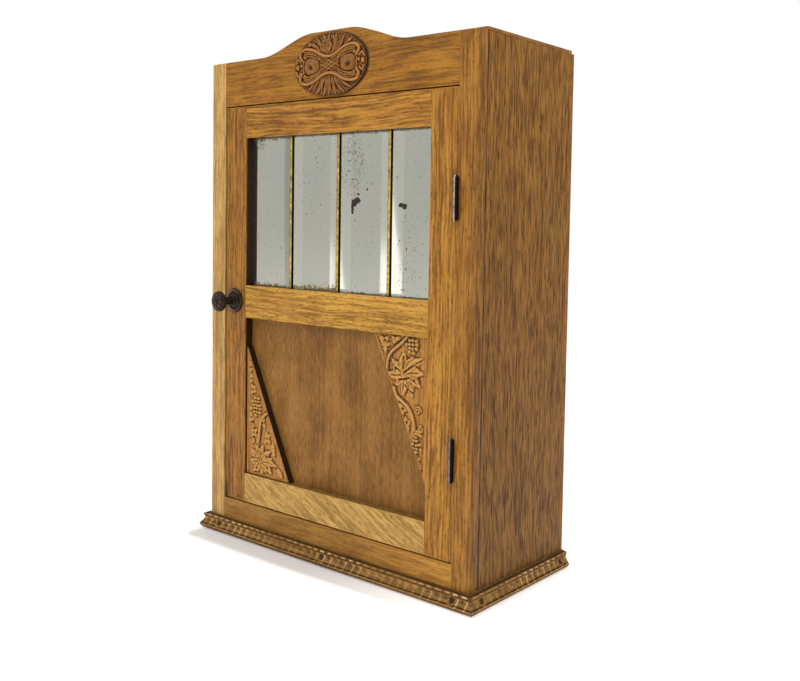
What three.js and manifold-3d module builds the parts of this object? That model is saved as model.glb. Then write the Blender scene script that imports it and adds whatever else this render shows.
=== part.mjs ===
// A small oak medicine cabinet: a carcass with a face frame, and one door that carries four
// bevelled mirror panes above a plywood panel with two carved corner ornaments.
// Millimetres. +X is to the right of someone facing the door, +Y points to the wall, +Z is up.
// The origin is the middle of the underside, half way between the face frame's front and the back.
import * as THREE from "three";
import { mergeVertices } from "three/addons/utils/BufferGeometryUtils.js";
import Module from "manifold-3d";

const wasm = await Module();
wasm.setup();

// ---------- driving dimensions ----------
const WIDTH = 415; // over the side panels
const DEPTH = 177; // face frame front to back panel rear
const SIDE_HEIGHT = 585.5;
const CREST_HEIGHT = 605.5;
const FIT = 0.3; // gap between two pieces that meet

const FACE_THICK = 12.5;
const FACE_STILE_WIDE = 24.5;
const OPENING_BOTTOM = 43;
const OPENING_TOP = 532;
const SIDE_THICK = 12;
const BACK_THICK = 5;
const TOP_THICK = 3;
const BOTTOM_THICK = 12;
const SHELF_THICK = 10;
const HOUSING_DEEP = 4; // groove in a side panel that holds a shelf end
const TENON_LONG = 14;
const TENON_THICK = 5;

const DOOR_GAP = 1.5; // all round the door
const DOOR_RECESS = 1.5; // door front behind the face frame's front
const DOOR_THICK = 19;
const DOOR_STILE_WIDE = 36;
const DOOR_BOTTOM_RAIL = 35;
const DOOR_MIDDLE_RAIL = 39.5;
const DOOR_TOP_RAIL = 38;
const MIRROR_OPENING_LOW = 313; // top edge of the door's middle rail
const REBATE_WIDE = 6;
const GLAZING_RECESS = 11.5; // mirrors and lower panel behind the door front

const PANE_THICK = 3.2;
const PANE_EDGE_THICK = 1.6;
const BEVEL_WIDE = 11;
const CAME_PITCH = 78;
const CAME_SHIFT = 2.5; // the middle came is a little right of centre
const CAME_WIDE = 4;
const CAME_PROUD = 2;
const BACKING_THICK = 2;
const PANEL_THICK = 4;
const BEAD_SIZE = 5;

const CARVING_WIDE = 77;
const CARVING_HIGH = 157;
const MEDALLION_WIDE = 113;
const MEDALLION_HIGH = 70;
const MEDALLION_THICK = 4.5;

const MOULDING_HIGH = 18.9;
const MOULDING_NOSE = 11; // how far the lowest part stands out from the carcass

const HINGE_LONG = 43;
const HINGE_LOWER_Z = 151.5;
const HINGE_UPPER_Z = 418.5;
const BARREL_R = 2.5;
const PIN_R = 1.1;
const BORE_R = 1.4;
const LEAF_THICK = 1;
const LEAF_WIDE = 11;

const KNOB_SHIFT = 1.5; // knob axis left of the middle of its stile
const KNOB_REACH = 30; // from the face frame's front to the front of the knob
const KNOB_R = 13;
const ROSETTE_R = 15;
const SPINDLE_R = 3;
const SPINDLE_HOLE_R = 3.5;
const TONGUE_LONG = 26; // spindle axis to the tongue's tip
const TONGUE_THICK = 3;
const KEEPER_GAP = 0.6;

// ---------- positions worked out from them ----------
const FRONT = -DEPTH / 2;
const BACK = DEPTH / 2;
const OUTER_X = WIDTH / 2;
const INNER_X = OUTER_X - SIDE_THICK;
const OPENING_X = OUTER_X - FACE_STILE_WIDE;
const FACE_BACK = FRONT + FACE_THICK;
const CARCASS_FRONT = FACE_BACK + FIT;
const BACK_FRONT = BACK - BACK_THICK;
const CARCASS_BACK = BACK_FRONT - FIT;

const DOOR_X = OPENING_X - DOOR_GAP;
const DOOR_LOW = OPENING_BOTTOM + DOOR_GAP;
const DOOR_HIGH = OPENING_TOP - DOOR_GAP;
const DOOR_FRONT = FRONT + DOOR_RECESS;
const DOOR_BACK = DOOR_FRONT + DOOR_THICK;
const LIGHT_X = DOOR_X - DOOR_STILE_WIDE; // half width between the door's stiles
const PANEL_LOW = DOOR_LOW + DOOR_BOTTOM_RAIL;
const PANEL_HIGH = MIRROR_OPENING_LOW - DOOR_MIDDLE_RAIL;
const MIRROR_LOW = MIRROR_OPENING_LOW;
const MIRROR_HIGH = DOOR_HIGH - DOOR_TOP_RAIL;
const GLAZING_FRONT = DOOR_FRONT + GLAZING_RECESS;
const REBATE_FRONT = GLAZING_FRONT - FIT;
const TENON_Y = [DOOR_FRONT + 3, DOOR_FRONT + 3 + TENON_THICK];

const HINGE_X = (DOOR_X + OPENING_X) / 2;
const HINGE_Y = FRONT - BARREL_R - 0.4;
const HINGE_HEIGHTS = { lower: HINGE_LOWER_Z, upper: HINGE_UPPER_Z };

const KNOB_X = -(DOOR_X + LIGHT_X) / 2 - KNOB_SHIFT;
const KNOB_Z = (PANEL_HIGH + MIRROR_LOW) / 2;
const TONGUE_FRONT = DOOR_BACK + 0.5;

// ---------- materials ----------
function finish(color, roughness, metalness = 0) {
  return new THREE.MeshStandardMaterial({ color, roughness, metalness });
}

const PALE_OAK = finish(0xc19758, 0.55);
const GOLDEN_OAK = finish(0xb8873f, 0.55);
const AMBER_OAK = finish(0x9e6c32, 0.55);
const SIDE_VENEER = finish(0x86602f, 0.6);
const PLYWOOD = finish(0x93693c, 0.65);
const CARVED_WOOD = finish(0xa5733d, 0.6);
const DARK_CARVING = finish(0x84572b, 0.6);
const MIRROR_GLASS = finish(0xadafa4, 0.08, 1);
const BRASS = finish(0xb99a4a, 0.35, 1);
const DARK_STEEL = finish(0x3b332c, 0.45, 1);
const BRONZE = finish(0x3d2e22, 0.4, 1);
const ZINC = finish(0x9a9c9e, 0.4, 1);

// ---------- solids: joining and cutting ----------
function toSolid(geometry) {
  const bare = geometry.clone();
  bare.deleteAttribute("normal");
  bare.deleteAttribute("uv");
  const merged = mergeVertices(bare, 1e-4);
  const vertProperties = merged.attributes.position.array;
  const triVerts = new Uint32Array(merged.index.array);
  return new wasm.Manifold(new wasm.Mesh({ numProp: 3, vertProperties, triVerts }));
}

function toGeometry(solid) {
  const mesh = solid.getMesh();
  const geometry = new THREE.BufferGeometry();
  geometry.setAttribute("position", new THREE.BufferAttribute(mesh.vertProperties, 3));
  geometry.setIndex(new THREE.BufferAttribute(mesh.triVerts, 1));
  return geometry;
}

function cut(body, ...cutters) {
  return toGeometry(cutters.reduce((left, tool) => left.subtract(toSolid(tool)), toSolid(body)));
}

function join(...pieces) {
  return toGeometry(pieces.map(toSolid).reduce((whole, piece) => whole.add(piece)));
}

// ---------- basic shapes ----------
function block([x0, x1], [y0, y1], [z0, z1]) {
  const box = new THREE.BoxGeometry(x1 - x0, y1 - y0, z1 - z0);
  return box.translate((x0 + x1) / 2, (y0 + y1) / 2, (z0 + z1) / 2);
}

// An outline drawn in X and Z, given thickness from y0 back to y1.
function plate(outline, [y0, y1], curveSegments = 12) {
  const settings = { depth: y1 - y0, bevelEnabled: false, curveSegments };
  return new THREE.ExtrudeGeometry(outline, settings).rotateX(Math.PI / 2).translate(0, y1, 0);
}

// A round bar along Z.
function post(radius, [z0, z1], sides = 20) {
  const bar = new THREE.CylinderGeometry(radius, radius, z1 - z0, sides);
  return bar.rotateX(Math.PI / 2).translate(0, 0, (z0 + z1) / 2);
}

// A turned shape about Y; each point is [radius, y], from one end of the axis to the other.
function turned(points, sides = 32) {
  return new THREE.LatheGeometry(points.map(([r, y]) => new THREE.Vector2(r, y)), sides);
}

// A flat-headed wood screw about Y with its head's face at y = 0 and its point at y = length.
// The margin fattens it into the hole it sits in.
function screw(headR, shankR, length, margin = 0) {
  const headDeep = headR - shankR;
  return turned(
    [
      [0, -margin],
      [headR + margin, -margin],
      [shankR + margin, headDeep],
      [shankR + margin, length - shankR * 2],
      [0, length + margin],
    ],
    12,
  );
}

const cabinet = new THREE.Group();

function add(name, geometry, material) {
  const mesh = new THREE.Mesh(geometry, material);
  mesh.name = name;
  cabinet.add(mesh);
}

// ---------- carcass ----------
const shelfPitch = (SIDE_HEIGHT - BOTTOM_THICK) / 3;
const SHELF_HEIGHTS = { lower: BOTTOM_THICK + shelfPitch, upper: BOTTOM_THICK + shelfPitch * 2 };
const SHELF_FRONT = DOOR_BACK + 11;

function addSidePanels() {
  for (const [name, side] of [["left", -1], ["right", 1]]) {
    const acrossX = [side * INNER_X, side * OUTER_X].sort((a, b) => a - b);
    const housingX = [side * (INNER_X - 1), side * (INNER_X + HOUSING_DEEP)].sort((a, b) => a - b);
    const housings = Object.values(SHELF_HEIGHTS).map((z) =>
      block(housingX, [SHELF_FRONT - FIT, CARCASS_BACK + 1], [z - FIT, z + SHELF_THICK + FIT]),
    );
    const panel = block(acrossX, [CARCASS_FRONT, CARCASS_BACK], [0, SIDE_HEIGHT]);
    add("side_panel_" + name, cut(panel, ...housings), SIDE_VENEER);
  }
}

function addShelves() {
  const reach = INNER_X + HOUSING_DEEP - FIT;
  for (const [name, z] of Object.entries(SHELF_HEIGHTS)) {
    const board = block([-reach, reach], [SHELF_FRONT, CARCASS_BACK], [z, z + SHELF_THICK]);
    add("shelf_" + name, board, PLYWOOD);
  }
}

function addFlatPanels() {
  const inside = INNER_X - FIT;
  const bottom = block([-inside, inside], [CARCASS_FRONT, CARCASS_BACK], [0, BOTTOM_THICK]);
  add("bottom_panel", bottom, PLYWOOD);
  const topLow = SIDE_HEIGHT + FIT;
  const top = block([-OUTER_X, OUTER_X], [CARCASS_FRONT, CARCASS_BACK], [topLow, topLow + TOP_THICK]);
  add("top_panel", top, PLYWOOD);
}

// A thin back, with a pocket for each hanger plate and a clearance hole behind its keyhole.
const HANGER = { x: 150, z: 548, wide: 24, high: 44, thick: 1.5, screwSpan: 32 };
const HANGER_SCREW = { headR: 2.6, shankR: 1.4, length: 4.4 };

function hangerScrew(side, end, margin = 0) {
  const { headR, shankR, length } = HANGER_SCREW;
  const z = HANGER.z + (end * HANGER.screwSpan) / 2;
  return screw(headR, shankR, length, margin).rotateX(Math.PI).translate(side * HANGER.x, BACK, z);
}

function addBack() {
  let back = block([-OUTER_X, OUTER_X], [BACK_FRONT, BACK], [0, SIDE_HEIGHT]);
  for (const side of [-1, 1]) {
    const x = side * HANGER.x;
    const halfWide = HANGER.wide / 2 + FIT;
    const halfHigh = HANGER.high / 2 + FIT;
    const pocketY = [BACK - HANGER.thick - FIT, BACK + 1];
    const pocket = block([x - halfWide, x + halfWide], pocketY, [HANGER.z - halfHigh, HANGER.z + halfHigh]);
    const reliefY = [BACK_FRONT - 1, BACK + 1];
    const relief = block([x - 6, x + 6], reliefY, [HANGER.z - 9, HANGER.z + 8]);
    back = cut(back, pocket, relief, hangerScrew(side, -1, FIT), hangerScrew(side, 1, FIT));
  }
  add("back_panel", back, PLYWOOD);
}

function keyhole(x) {
  const headR = 4.5;
  const neckHalf = 2.2;
  const headZ = HANGER.z - 3;
  const start = Math.asin(neckHalf / headR);
  const shape = new THREE.Shape();
  shape.absarc(x, headZ, headR, Math.PI / 2 + start, Math.PI / 2 - start + Math.PI * 2, false);
  shape.absarc(x, HANGER.z + 5, neckHalf, 0, Math.PI, false);
  return shape;
}

function addHangers() {
  for (const [name, side] of [["left", -1], ["right", 1]]) {
    const x = side * HANGER.x;
    const plateX = [x - HANGER.wide / 2, x + HANGER.wide / 2];
    const plateZ = [HANGER.z - HANGER.high / 2, HANGER.z + HANGER.high / 2];
    const flat = block(plateX, [BACK - HANGER.thick, BACK], plateZ);
    const hole = plate(keyhole(x), [BACK - HANGER.thick - 1, BACK + 1], 8);
    const holder = cut(flat, hole, hangerScrew(side, -1, FIT), hangerScrew(side, 1, FIT));
    add("hanger_plate_" + name, holder, ZINC);
    add("hanger_screw_" + name + "_low", hangerScrew(side, -1), ZINC);
    add("hanger_screw_" + name + "_high", hangerScrew(side, 1), ZINC);
  }
}

// ---------- face frame ----------
const FACE_TENON_Y = [FRONT + 4, FRONT + 4 + TENON_THICK];

// A box grown by FIT across its thickness and height: the mortise a tenon slides into.
function mortise(spanX, [y0, y1], [z0, z1]) {
  return block(spanX, [y0 - FIT, y1 + FIT], [z0 - FIT, z1 + FIT]);
}

const CREST_TENON_Z = [OPENING_TOP + 8, SIDE_HEIGHT - 10];
const SILL_TENON_Z = [8, OPENING_BOTTOM - 8];

function addFaceStiles() {
  for (const [name, side] of [["left", -1], ["right", 1]]) {
    const acrossX = [side * OPENING_X, side * OUTER_X].sort((a, b) => a - b);
    const deepX = [side * (OPENING_X - 1), side * (OPENING_X + TENON_LONG)].sort((a, b) => a - b);
    const cutters = [CREST_TENON_Z, SILL_TENON_Z].map((z) => mortise(deepX, FACE_TENON_Y, z));
    if (side > 0) cutters.push(...frameLeafSeats());
    const stile = block(acrossX, [FRONT, FACE_BACK], [0, SIDE_HEIGHT]);
    add("face_stile_" + name, cut(stile, ...cutters), side > 0 ? AMBER_OAK : PALE_OAK);
  }
}

// The crest: flat shoulders that rise through an S-curve to a flat middle.
function crestOutline() {
  const half = OPENING_X - FIT;
  const shoulder = 115;
  const crown = 30;
  const shape = new THREE.Shape();
  shape.moveTo(-half, OPENING_TOP);
  shape.lineTo(half, OPENING_TOP);
  shape.lineTo(half, SIDE_HEIGHT);
  shape.lineTo(shoulder, SIDE_HEIGHT);
  shape.bezierCurveTo(88, SIDE_HEIGHT, 57, CREST_HEIGHT, crown, CREST_HEIGHT);
  shape.lineTo(-crown, CREST_HEIGHT);
  shape.bezierCurveTo(-57, CREST_HEIGHT, -88, SIDE_HEIGHT, -shoulder, SIDE_HEIGHT);
  shape.lineTo(-half, SIDE_HEIGHT);
  return shape;
}

function addFaceRails() {
  const half = OPENING_X - FIT;
  const tenonX = [-half - TENON_LONG + 1, half + TENON_LONG - 1];
  const crest = join(plate(crestOutline(), [FRONT, FACE_BACK]), block(tenonX, FACE_TENON_Y, CREST_TENON_Z));
  add("crest_rail", crest, GOLDEN_OAK);
  const sill = block([-half, half], [FRONT, FACE_BACK], [0, OPENING_BOTTOM]);
  add("face_rail_bottom", join(sill, block(tenonX, FACE_TENON_Y, SILL_TENON_Z)), AMBER_OAK);
}

// An oval ornament with a rounded edge, planted on the crest.
function addMedallion() {
  const bevel = 2;
  const outline = new THREE.Shape();
  outline.absellipse(0, 0, MEDALLION_WIDE / 2 - bevel, MEDALLION_HIGH / 2 - bevel, 0, Math.PI * 2);
  const settings = {
    depth: MEDALLION_THICK - bevel,
    bevelThickness: bevel,
    bevelSize: bevel,
    bevelSegments: 3,
    curveSegments: 24,
  };
  const raised = new THREE.ExtrudeGeometry(outline, settings).rotateX(Math.PI / 2);
  const behind = block([-OUTER_X, OUTER_X], [0, MEDALLION_THICK], [-CREST_HEIGHT, CREST_HEIGHT]);
  const middleZ = OPENING_TOP + MEDALLION_HIGH / 2 + 0.5;
  const medallion = cut(raised, behind).translate(0, FRONT - FIT, middleZ);
  add("crest_medallion", medallion, DARK_CARVING);
}

// ---------- base moulding ----------
// Its section, as outward distance from the carcass and height: a blunt nose at the bottom,
// a cove above it, and a round bead on top.
function mouldingSection() {
  const bead = { out: 4.2, up: 15.7, radius: 3.2 };
  const section = new THREE.Shape();
  section.moveTo(FIT, 0);
  section.lineTo(MOULDING_NOSE - 2.5, 0);
  section.quadraticCurveTo(MOULDING_NOSE, 1.5, MOULDING_NOSE, 5);
  section.quadraticCurveTo(7, 8, 5.8, 12.8);
  section.absarc(bead.out, bead.up, bead.radius, -Math.PI / 3, Math.PI / 2, false);
  section.lineTo(FIT, MOULDING_HIGH);
  return section;
}

// A length of moulding whose two ends are placed by functions of the outward distance,
// so that an end can be square or mitred.
function mouldingLength(startAt, endAt, place) {
  const settings = { depth: 1, bevelEnabled: false, curveSegments: 6 };
  const strip = new THREE.ExtrudeGeometry(mouldingSection(), settings);
  const position = strip.attributes.position;
  for (let i = 0; i < position.count; i++) {
    const out = position.getX(i);
    const up = position.getY(i);
    const along = position.getZ(i) < 0.5 ? startAt(out) : endAt(out);
    position.setXYZ(i, ...place(out, along, up));
  }
  return strip;
}

// Swaps two corners of every triangle, which turns the faces the other way out.
function turnFaces(geometry) {
  const position = geometry.attributes.position;
  const corner = new THREE.Vector3();
  for (let i = 0; i < position.count; i += 3) {
    corner.fromBufferAttribute(position, i);
    position.setXYZ(i, position.getX(i + 1), position.getY(i + 1), position.getZ(i + 1));
    position.setXYZ(i + 1, corner.x, corner.y, corner.z);
  }
  return geometry;
}

function addMouldings() {
  const mitre = FIT / 2;
  const front = mouldingLength(
    (out) => -OUTER_X - out + mitre,
    (out) => OUTER_X + out - mitre,
    (out, along, up) => [along, FRONT - out, up],
  );
  add("base_moulding_front", turnFaces(front), DARK_CARVING);
  const sideStart = (out) => FRONT - out + mitre;
  const sideEnd = () => BACK;
  const right = mouldingLength(sideStart, sideEnd, (out, along, up) => [OUTER_X + out, along, up]);
  add("base_moulding_right", turnFaces(right), DARK_CARVING);
  const left = mouldingLength(sideStart, sideEnd, (out, along, up) => [-OUTER_X - out, along, up]);
  add("base_moulding_left", left, DARK_CARVING);
}

// ---------- hinges ----------
const KNUCKLE_LONG = HINGE_LONG / 3;
const LEAF_REACH = FRONT + LEAF_WIDE; // how far back the leaves go
const HINGE_SCREW = { headR: 2.4, shankR: 1.3, length: 11, span: 24 };
const SCREW_Y = FRONT + LEAF_WIDE / 2 + 1;

// Side is +1 for the leaf on the face frame and -1 for the leaf on the door.
function leafFace(side) {
  return side > 0 ? OPENING_X - 0.2 : DOOR_X + 0.2;
}

function leafSpanX(side, margin = 0) {
  const face = leafFace(side);
  return side > 0 ? [face, face + LEAF_THICK + margin] : [face - LEAF_THICK - margin, face];
}

function hingeScrew(side, z, end, margin = 0) {
  const { headR, shankR, length, span } = HINGE_SCREW;
  const body = screw(headR, shankR, length, margin).rotateZ((-side * Math.PI) / 2);
  return body.translate(leafFace(side), SCREW_Y, z + (end * span) / 2);
}

// What a leaf and its screws take out of the wood behind them.
function leafSeat(side, z) {
  const spanZ = [z - HINGE_LONG / 2 - FIT, z + HINGE_LONG / 2 + FIT];
  const spanX = leafSpanX(side, FIT);
  const open = side > 0 ? [spanX[0] - 1, spanX[1]] : [spanX[0], spanX[1] + 1];
  const seat = block(open, [FRONT - 1, LEAF_REACH + FIT], spanZ);
  return [seat, hingeScrew(side, z, -1, FIT), hingeScrew(side, z, 1, FIT)];
}

function frameLeafSeats() {
  return Object.values(HINGE_HEIGHTS).flatMap((z) => leafSeat(1, z));
}

function doorLeafSeats() {
  return Object.values(HINGE_HEIGHTS).flatMap((z) => leafSeat(-1, z));
}

// A leaf is a flat plate with its share of the three knuckles: two on the frame, one on the door.
function hingeLeaf(side, z) {
  const low = z - HINGE_LONG / 2;
  const own = side > 0 ? [0, 2] : [1];
  const others = side > 0 ? [1] : [0, 2];
  const plateZ = [low, low + HINGE_LONG];
  let leaf = block(leafSpanX(side), [HINGE_Y, LEAF_REACH], plateZ);
  const knuckleZ = (i) => [low + i * KNUCKLE_LONG + FIT / 2, low + (i + 1) * KNUCKLE_LONG - FIT / 2];
  const roomZ = (i) => [low + i * KNUCKLE_LONG - FIT / 2, low + (i + 1) * KNUCKLE_LONG + FIT / 2];
  for (const i of others) {
    leaf = cut(leaf, post(BARREL_R + FIT, roomZ(i)).translate(HINGE_X, HINGE_Y, 0));
    const strip = block([HINGE_X - 3, HINGE_X + 3], [HINGE_Y - 1, HINGE_Y + BARREL_R + 0.2], roomZ(i));
    leaf = cut(leaf, strip);
  }
  for (const i of own) leaf = join(leaf, post(BARREL_R, knuckleZ(i)).translate(HINGE_X, HINGE_Y, 0));
  const bore = post(BORE_R, [low - 1, low + HINGE_LONG + 1]).translate(HINGE_X, HINGE_Y, 0);
  return cut(leaf, bore, hingeScrew(side, z, -1, FIT), hingeScrew(side, z, 1, FIT));
}

// The pin runs through all three knuckles and ends in a small round head above and below.
function hingePin(z) {
  const half = HINGE_LONG / 2 + FIT;
  const profile = [
    [0, -half - 1.6],
    [1.6, -half - 1.2],
    [2, -half],
    [PIN_R, -half],
    [PIN_R, half],
    [2, half],
    [1.6, half + 1.2],
    [0, half + 1.6],
  ];
  return turned(profile, 16).rotateX(Math.PI / 2).translate(HINGE_X, HINGE_Y, z);
}

function addHinges() {
  for (const [name, z] of Object.entries(HINGE_HEIGHTS)) {
    add("hinge_frame_leaf_" + name, hingeLeaf(1, z), DARK_STEEL);
    add("hinge_door_leaf_" + name, hingeLeaf(-1, z), DARK_STEEL);
    add("hinge_pin_" + name, hingePin(z), DARK_STEEL);
    for (const [end, sign] of [["low", -1], ["high", 1]]) {
      add("hinge_frame_screw_" + name + "_" + end, hingeScrew(1, z, sign), DARK_STEEL);
      add("hinge_door_screw_" + name + "_" + end, hingeScrew(-1, z, sign), DARK_STEEL);
    }
  }
}

// ---------- door frame ----------
const RAILS = {
  bottom: [DOOR_LOW, PANEL_LOW],
  middle: [PANEL_HIGH, MIRROR_LOW],
  top: [MIRROR_HIGH, DOOR_HIGH],
};

function tenonSpan([z0, z1]) {
  const shoulder = REBATE_WIDE + 2;
  return [z0 + shoulder, z1 - shoulder];
}

// The step behind each opening that takes the mirrors or the panel.
function rebates() {
  const halfWide = LIGHT_X + REBATE_WIDE;
  return [[PANEL_LOW, PANEL_HIGH], [MIRROR_LOW, MIRROR_HIGH]].map(([z0, z1]) =>
    block([-halfWide, halfWide], [REBATE_FRONT, DOOR_BACK + 1], [z0 - REBATE_WIDE, z1 + REBATE_WIDE]),
  );
}

function addDoorFrame() {
  for (const [name, side] of [["knob", -1], ["hinge", 1]]) {
    const acrossX = [side * LIGHT_X, side * DOOR_X].sort((a, b) => a - b);
    const deepX = [side * (LIGHT_X - 1), side * (LIGHT_X + TENON_LONG + 1)].sort((a, b) => a - b);
    const mortises = Object.values(RAILS).map((z) => mortise(deepX, TENON_Y, tenonSpan(z)));
    const spindleHole = new THREE.CylinderGeometry(SPINDLE_HOLE_R, SPINDLE_HOLE_R, 60, 20);
    const extras = side > 0 ? doorLeafSeats() : [spindleHole.translate(KNOB_X, DOOR_FRONT, KNOB_Z)];
    const stile = block(acrossX, [DOOR_FRONT, DOOR_BACK], [DOOR_LOW, DOOR_HIGH]);
    add("door_stile_" + name, cut(stile, ...rebates(), ...mortises, ...extras), AMBER_OAK);
  }
  const half = LIGHT_X - FIT;
  const tenonX = [-half - TENON_LONG, half + TENON_LONG];
  for (const [name, z] of Object.entries(RAILS)) {
    const rail = cut(block([-half, half], [DOOR_FRONT, DOOR_BACK], z), ...rebates());
    add("door_rail_" + name, join(rail, block(tenonX, TENON_Y, tenonSpan(z))), GOLDEN_OAK);
  }
}

// ---------- mirrors and lower panel ----------
const GLAZING_X = LIGHT_X + REBATE_WIDE - FIT;
const CAME_X = [-1, 0, 1].map((i) => CAME_SHIFT + i * CAME_PITCH);
const CAME_WEB = 1;

// A sheet of mirror with a flat bevel round its front, from a thin edge up to full thickness.
function bevelledPane([x0, x1], [z0, z1]) {
  const back = GLAZING_FRONT + PANE_THICK;
  const outer = [x0, x1, z0, z1];
  const inner = [x0 + BEVEL_WIDE, x1 - BEVEL_WIDE, z0 + BEVEL_WIDE, z1 - BEVEL_WIDE];
  const ring = ([a, b, c, d], y) => [[a, y, c], [b, y, c], [b, y, d], [a, y, d]];
  const corners = [
    ...ring(outer, back),
    ...ring(outer, back - PANE_EDGE_THICK),
    ...ring(inner, GLAZING_FRONT),
  ];
  const faces = [0, 2, 1, 0, 3, 2, 8, 9, 10, 8, 10, 11];
  for (const layer of [0, 4]) {
    for (let i = 0; i < 4; i++) {
      const j = (i + 1) % 4;
      faces.push(layer + i, layer + j, layer + 4 + j);
      faces.push(layer + i, layer + 4 + j, layer + 4 + i);
    }
  }
  const pane = new THREE.BufferGeometry();
  pane.setAttribute("position", new THREE.Float32BufferAttribute(corners.flat(), 3));
  return pane.setIndex(faces);
}

function addMirrors() {
  const spanZ = [MIRROR_LOW - REBATE_WIDE + FIT, MIRROR_HIGH + REBATE_WIDE - FIT];
  const edges = [-GLAZING_X, ...CAME_X, GLAZING_X];
  for (let i = 0; i < 4; i++) {
    const left = edges[i] + (i > 0 ? CAME_WEB / 2 + FIT : 0);
    const right = edges[i + 1] - (i < 3 ? CAME_WEB / 2 + FIT : 0);
    add("mirror_pane_" + (i + 1), bevelledPane([left, right], spanZ), MIRROR_GLASS);
  }
}

// A brass T-bar between two panes: a flange over their edges and a web between them.
function addCames() {
  const spanZ = [MIRROR_LOW + FIT, MIRROR_HIGH - FIT];
  CAME_X.forEach((x, i) => {
    const flangeY = [GLAZING_FRONT - CAME_PROUD, GLAZING_FRONT - FIT];
    const flange = block([x - CAME_WIDE / 2, x + CAME_WIDE / 2], flangeY, spanZ);
    const webY = [GLAZING_FRONT - FIT - 0.1, GLAZING_FRONT + PANE_THICK];
    const web = block([x - CAME_WEB / 2, x + CAME_WEB / 2], webY, spanZ);
    add("mirror_came_" + (i + 1), join(flange, web), BRASS);
  });
}

// A quarter-round bead in the corner of the rebate; up is +1 for a bead on a lower rail.
function bead(behind, z, up) {
  const section = new THREE.Shape();
  section.moveTo(0, 0);
  section.lineTo(BEAD_SIZE, 0);
  section.absarc(0, 0, BEAD_SIZE, 0, Math.PI / 2, false);
  const half = GLAZING_X;
  const settings = { depth: 2 * half, bevelEnabled: false, curveSegments: 5 };
  const strip = new THREE.ExtrudeGeometry(section, settings);
  strip.rotateY(Math.PI / 2).rotateX(Math.PI / 2);
  if (up < 0) strip.rotateX(-Math.PI / 2);
  return strip.translate(-half, behind, z);
}

function addBacking() {
  const boardFront = GLAZING_FRONT + PANE_THICK + FIT;
  const boardBack = boardFront + BACKING_THICK;
  const lowZ = MIRROR_LOW - REBATE_WIDE + FIT;
  const highZ = MIRROR_HIGH + REBATE_WIDE - FIT;
  const board = block([-GLAZING_X, GLAZING_X], [boardFront, boardBack], [lowZ, highZ]);
  add("mirror_backing_board", board, PLYWOOD);
  add("mirror_bead_bottom", bead(boardBack + FIT, lowZ, 1), AMBER_OAK);
  add("mirror_bead_top", bead(boardBack + FIT, highZ, -1), AMBER_OAK);
}

function addLowerPanel() {
  const panelBack = GLAZING_FRONT + PANEL_THICK;
  const lowZ = PANEL_LOW - REBATE_WIDE + FIT;
  const highZ = PANEL_HIGH + REBATE_WIDE - FIT;
  add("lower_panel", block([-GLAZING_X, GLAZING_X], [GLAZING_FRONT, panelBack], [lowZ, highZ]), PLYWOOD);
  add("panel_bead_bottom", bead(panelBack + FIT, lowZ, 1), AMBER_OAK);
  add("panel_bead_top", bead(panelBack + FIT, highZ, -1), AMBER_OAK);
}

// A right-angled triangle of carved wood in a corner of the panel; the second one is the
// first turned half round about the middle of the opening.
function addCornerCarvings() {
  const margin = 0.8;
  const spanY = [DOOR_FRONT + 0.7, GLAZING_FRONT - FIT];
  const outline = (turn, cornerX, cornerZ) => {
    const shape = new THREE.Shape();
    shape.moveTo(cornerX, cornerZ);
    shape.lineTo(cornerX + turn * CARVING_WIDE, cornerZ);
    shape.lineTo(cornerX, cornerZ + turn * CARVING_HIGH);
    return shape;
  };
  const lowerLeft = outline(1, -LIGHT_X + margin, PANEL_LOW + margin);
  const upperRight = outline(-1, LIGHT_X - margin, PANEL_HIGH - margin);
  add("corner_carving_lower_left", plate(lowerLeft, spanY), CARVED_WOOD);
  add("corner_carving_upper_right", plate(upperRight, spanY), CARVED_WOOD);
}

// ---------- knob and turn latch ----------
const TONGUE_BACK = TONGUE_FRONT + TONGUE_THICK;
const NUT_FRONT = TONGUE_BACK + FIT;
const NUT_THICK = 3;

function addKnob() {
  const front = FRONT - KNOB_REACH;
  const headBack = front + 13;
  const rosetteFront = DOOR_FRONT - FIT - 3;
  const knob = turned([
    [0, front],
    [5, front + 0.4],
    [9, front + 1.6],
    [KNOB_R - 0.8, front + 4],
    [KNOB_R, front + 6.5],
    [KNOB_R - 1.5, front + 9.5],
    [7, headBack - 1],
    [4.5, headBack + 1.5],
    [5.5, rosetteFront - 1.5],
    [5.5, rosetteFront - FIT],
    [SPINDLE_R, rosetteFront - FIT],
    [SPINDLE_R, NUT_FRONT + NUT_THICK + 1.5],
    [0, NUT_FRONT + NUT_THICK + 2],
  ]);
  add("knob", knob.translate(KNOB_X, 0, KNOB_Z), BRONZE);

  const rosette = turned([
    [SPINDLE_HOLE_R, DOOR_FRONT - FIT],
    [SPINDLE_HOLE_R, rosetteFront],
    [7, rosetteFront],
    [9, rosetteFront + 1.2],
    [12.5, rosetteFront + 0.8],
    [ROSETTE_R, rosetteFront + 2],
    [ROSETTE_R, DOOR_FRONT - FIT],
    [SPINDLE_HOLE_R, DOOR_FRONT - FIT],
  ]);
  add("knob_rosette", rosette.translate(KNOB_X, 0, KNOB_Z), BRONZE);
}

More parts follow.
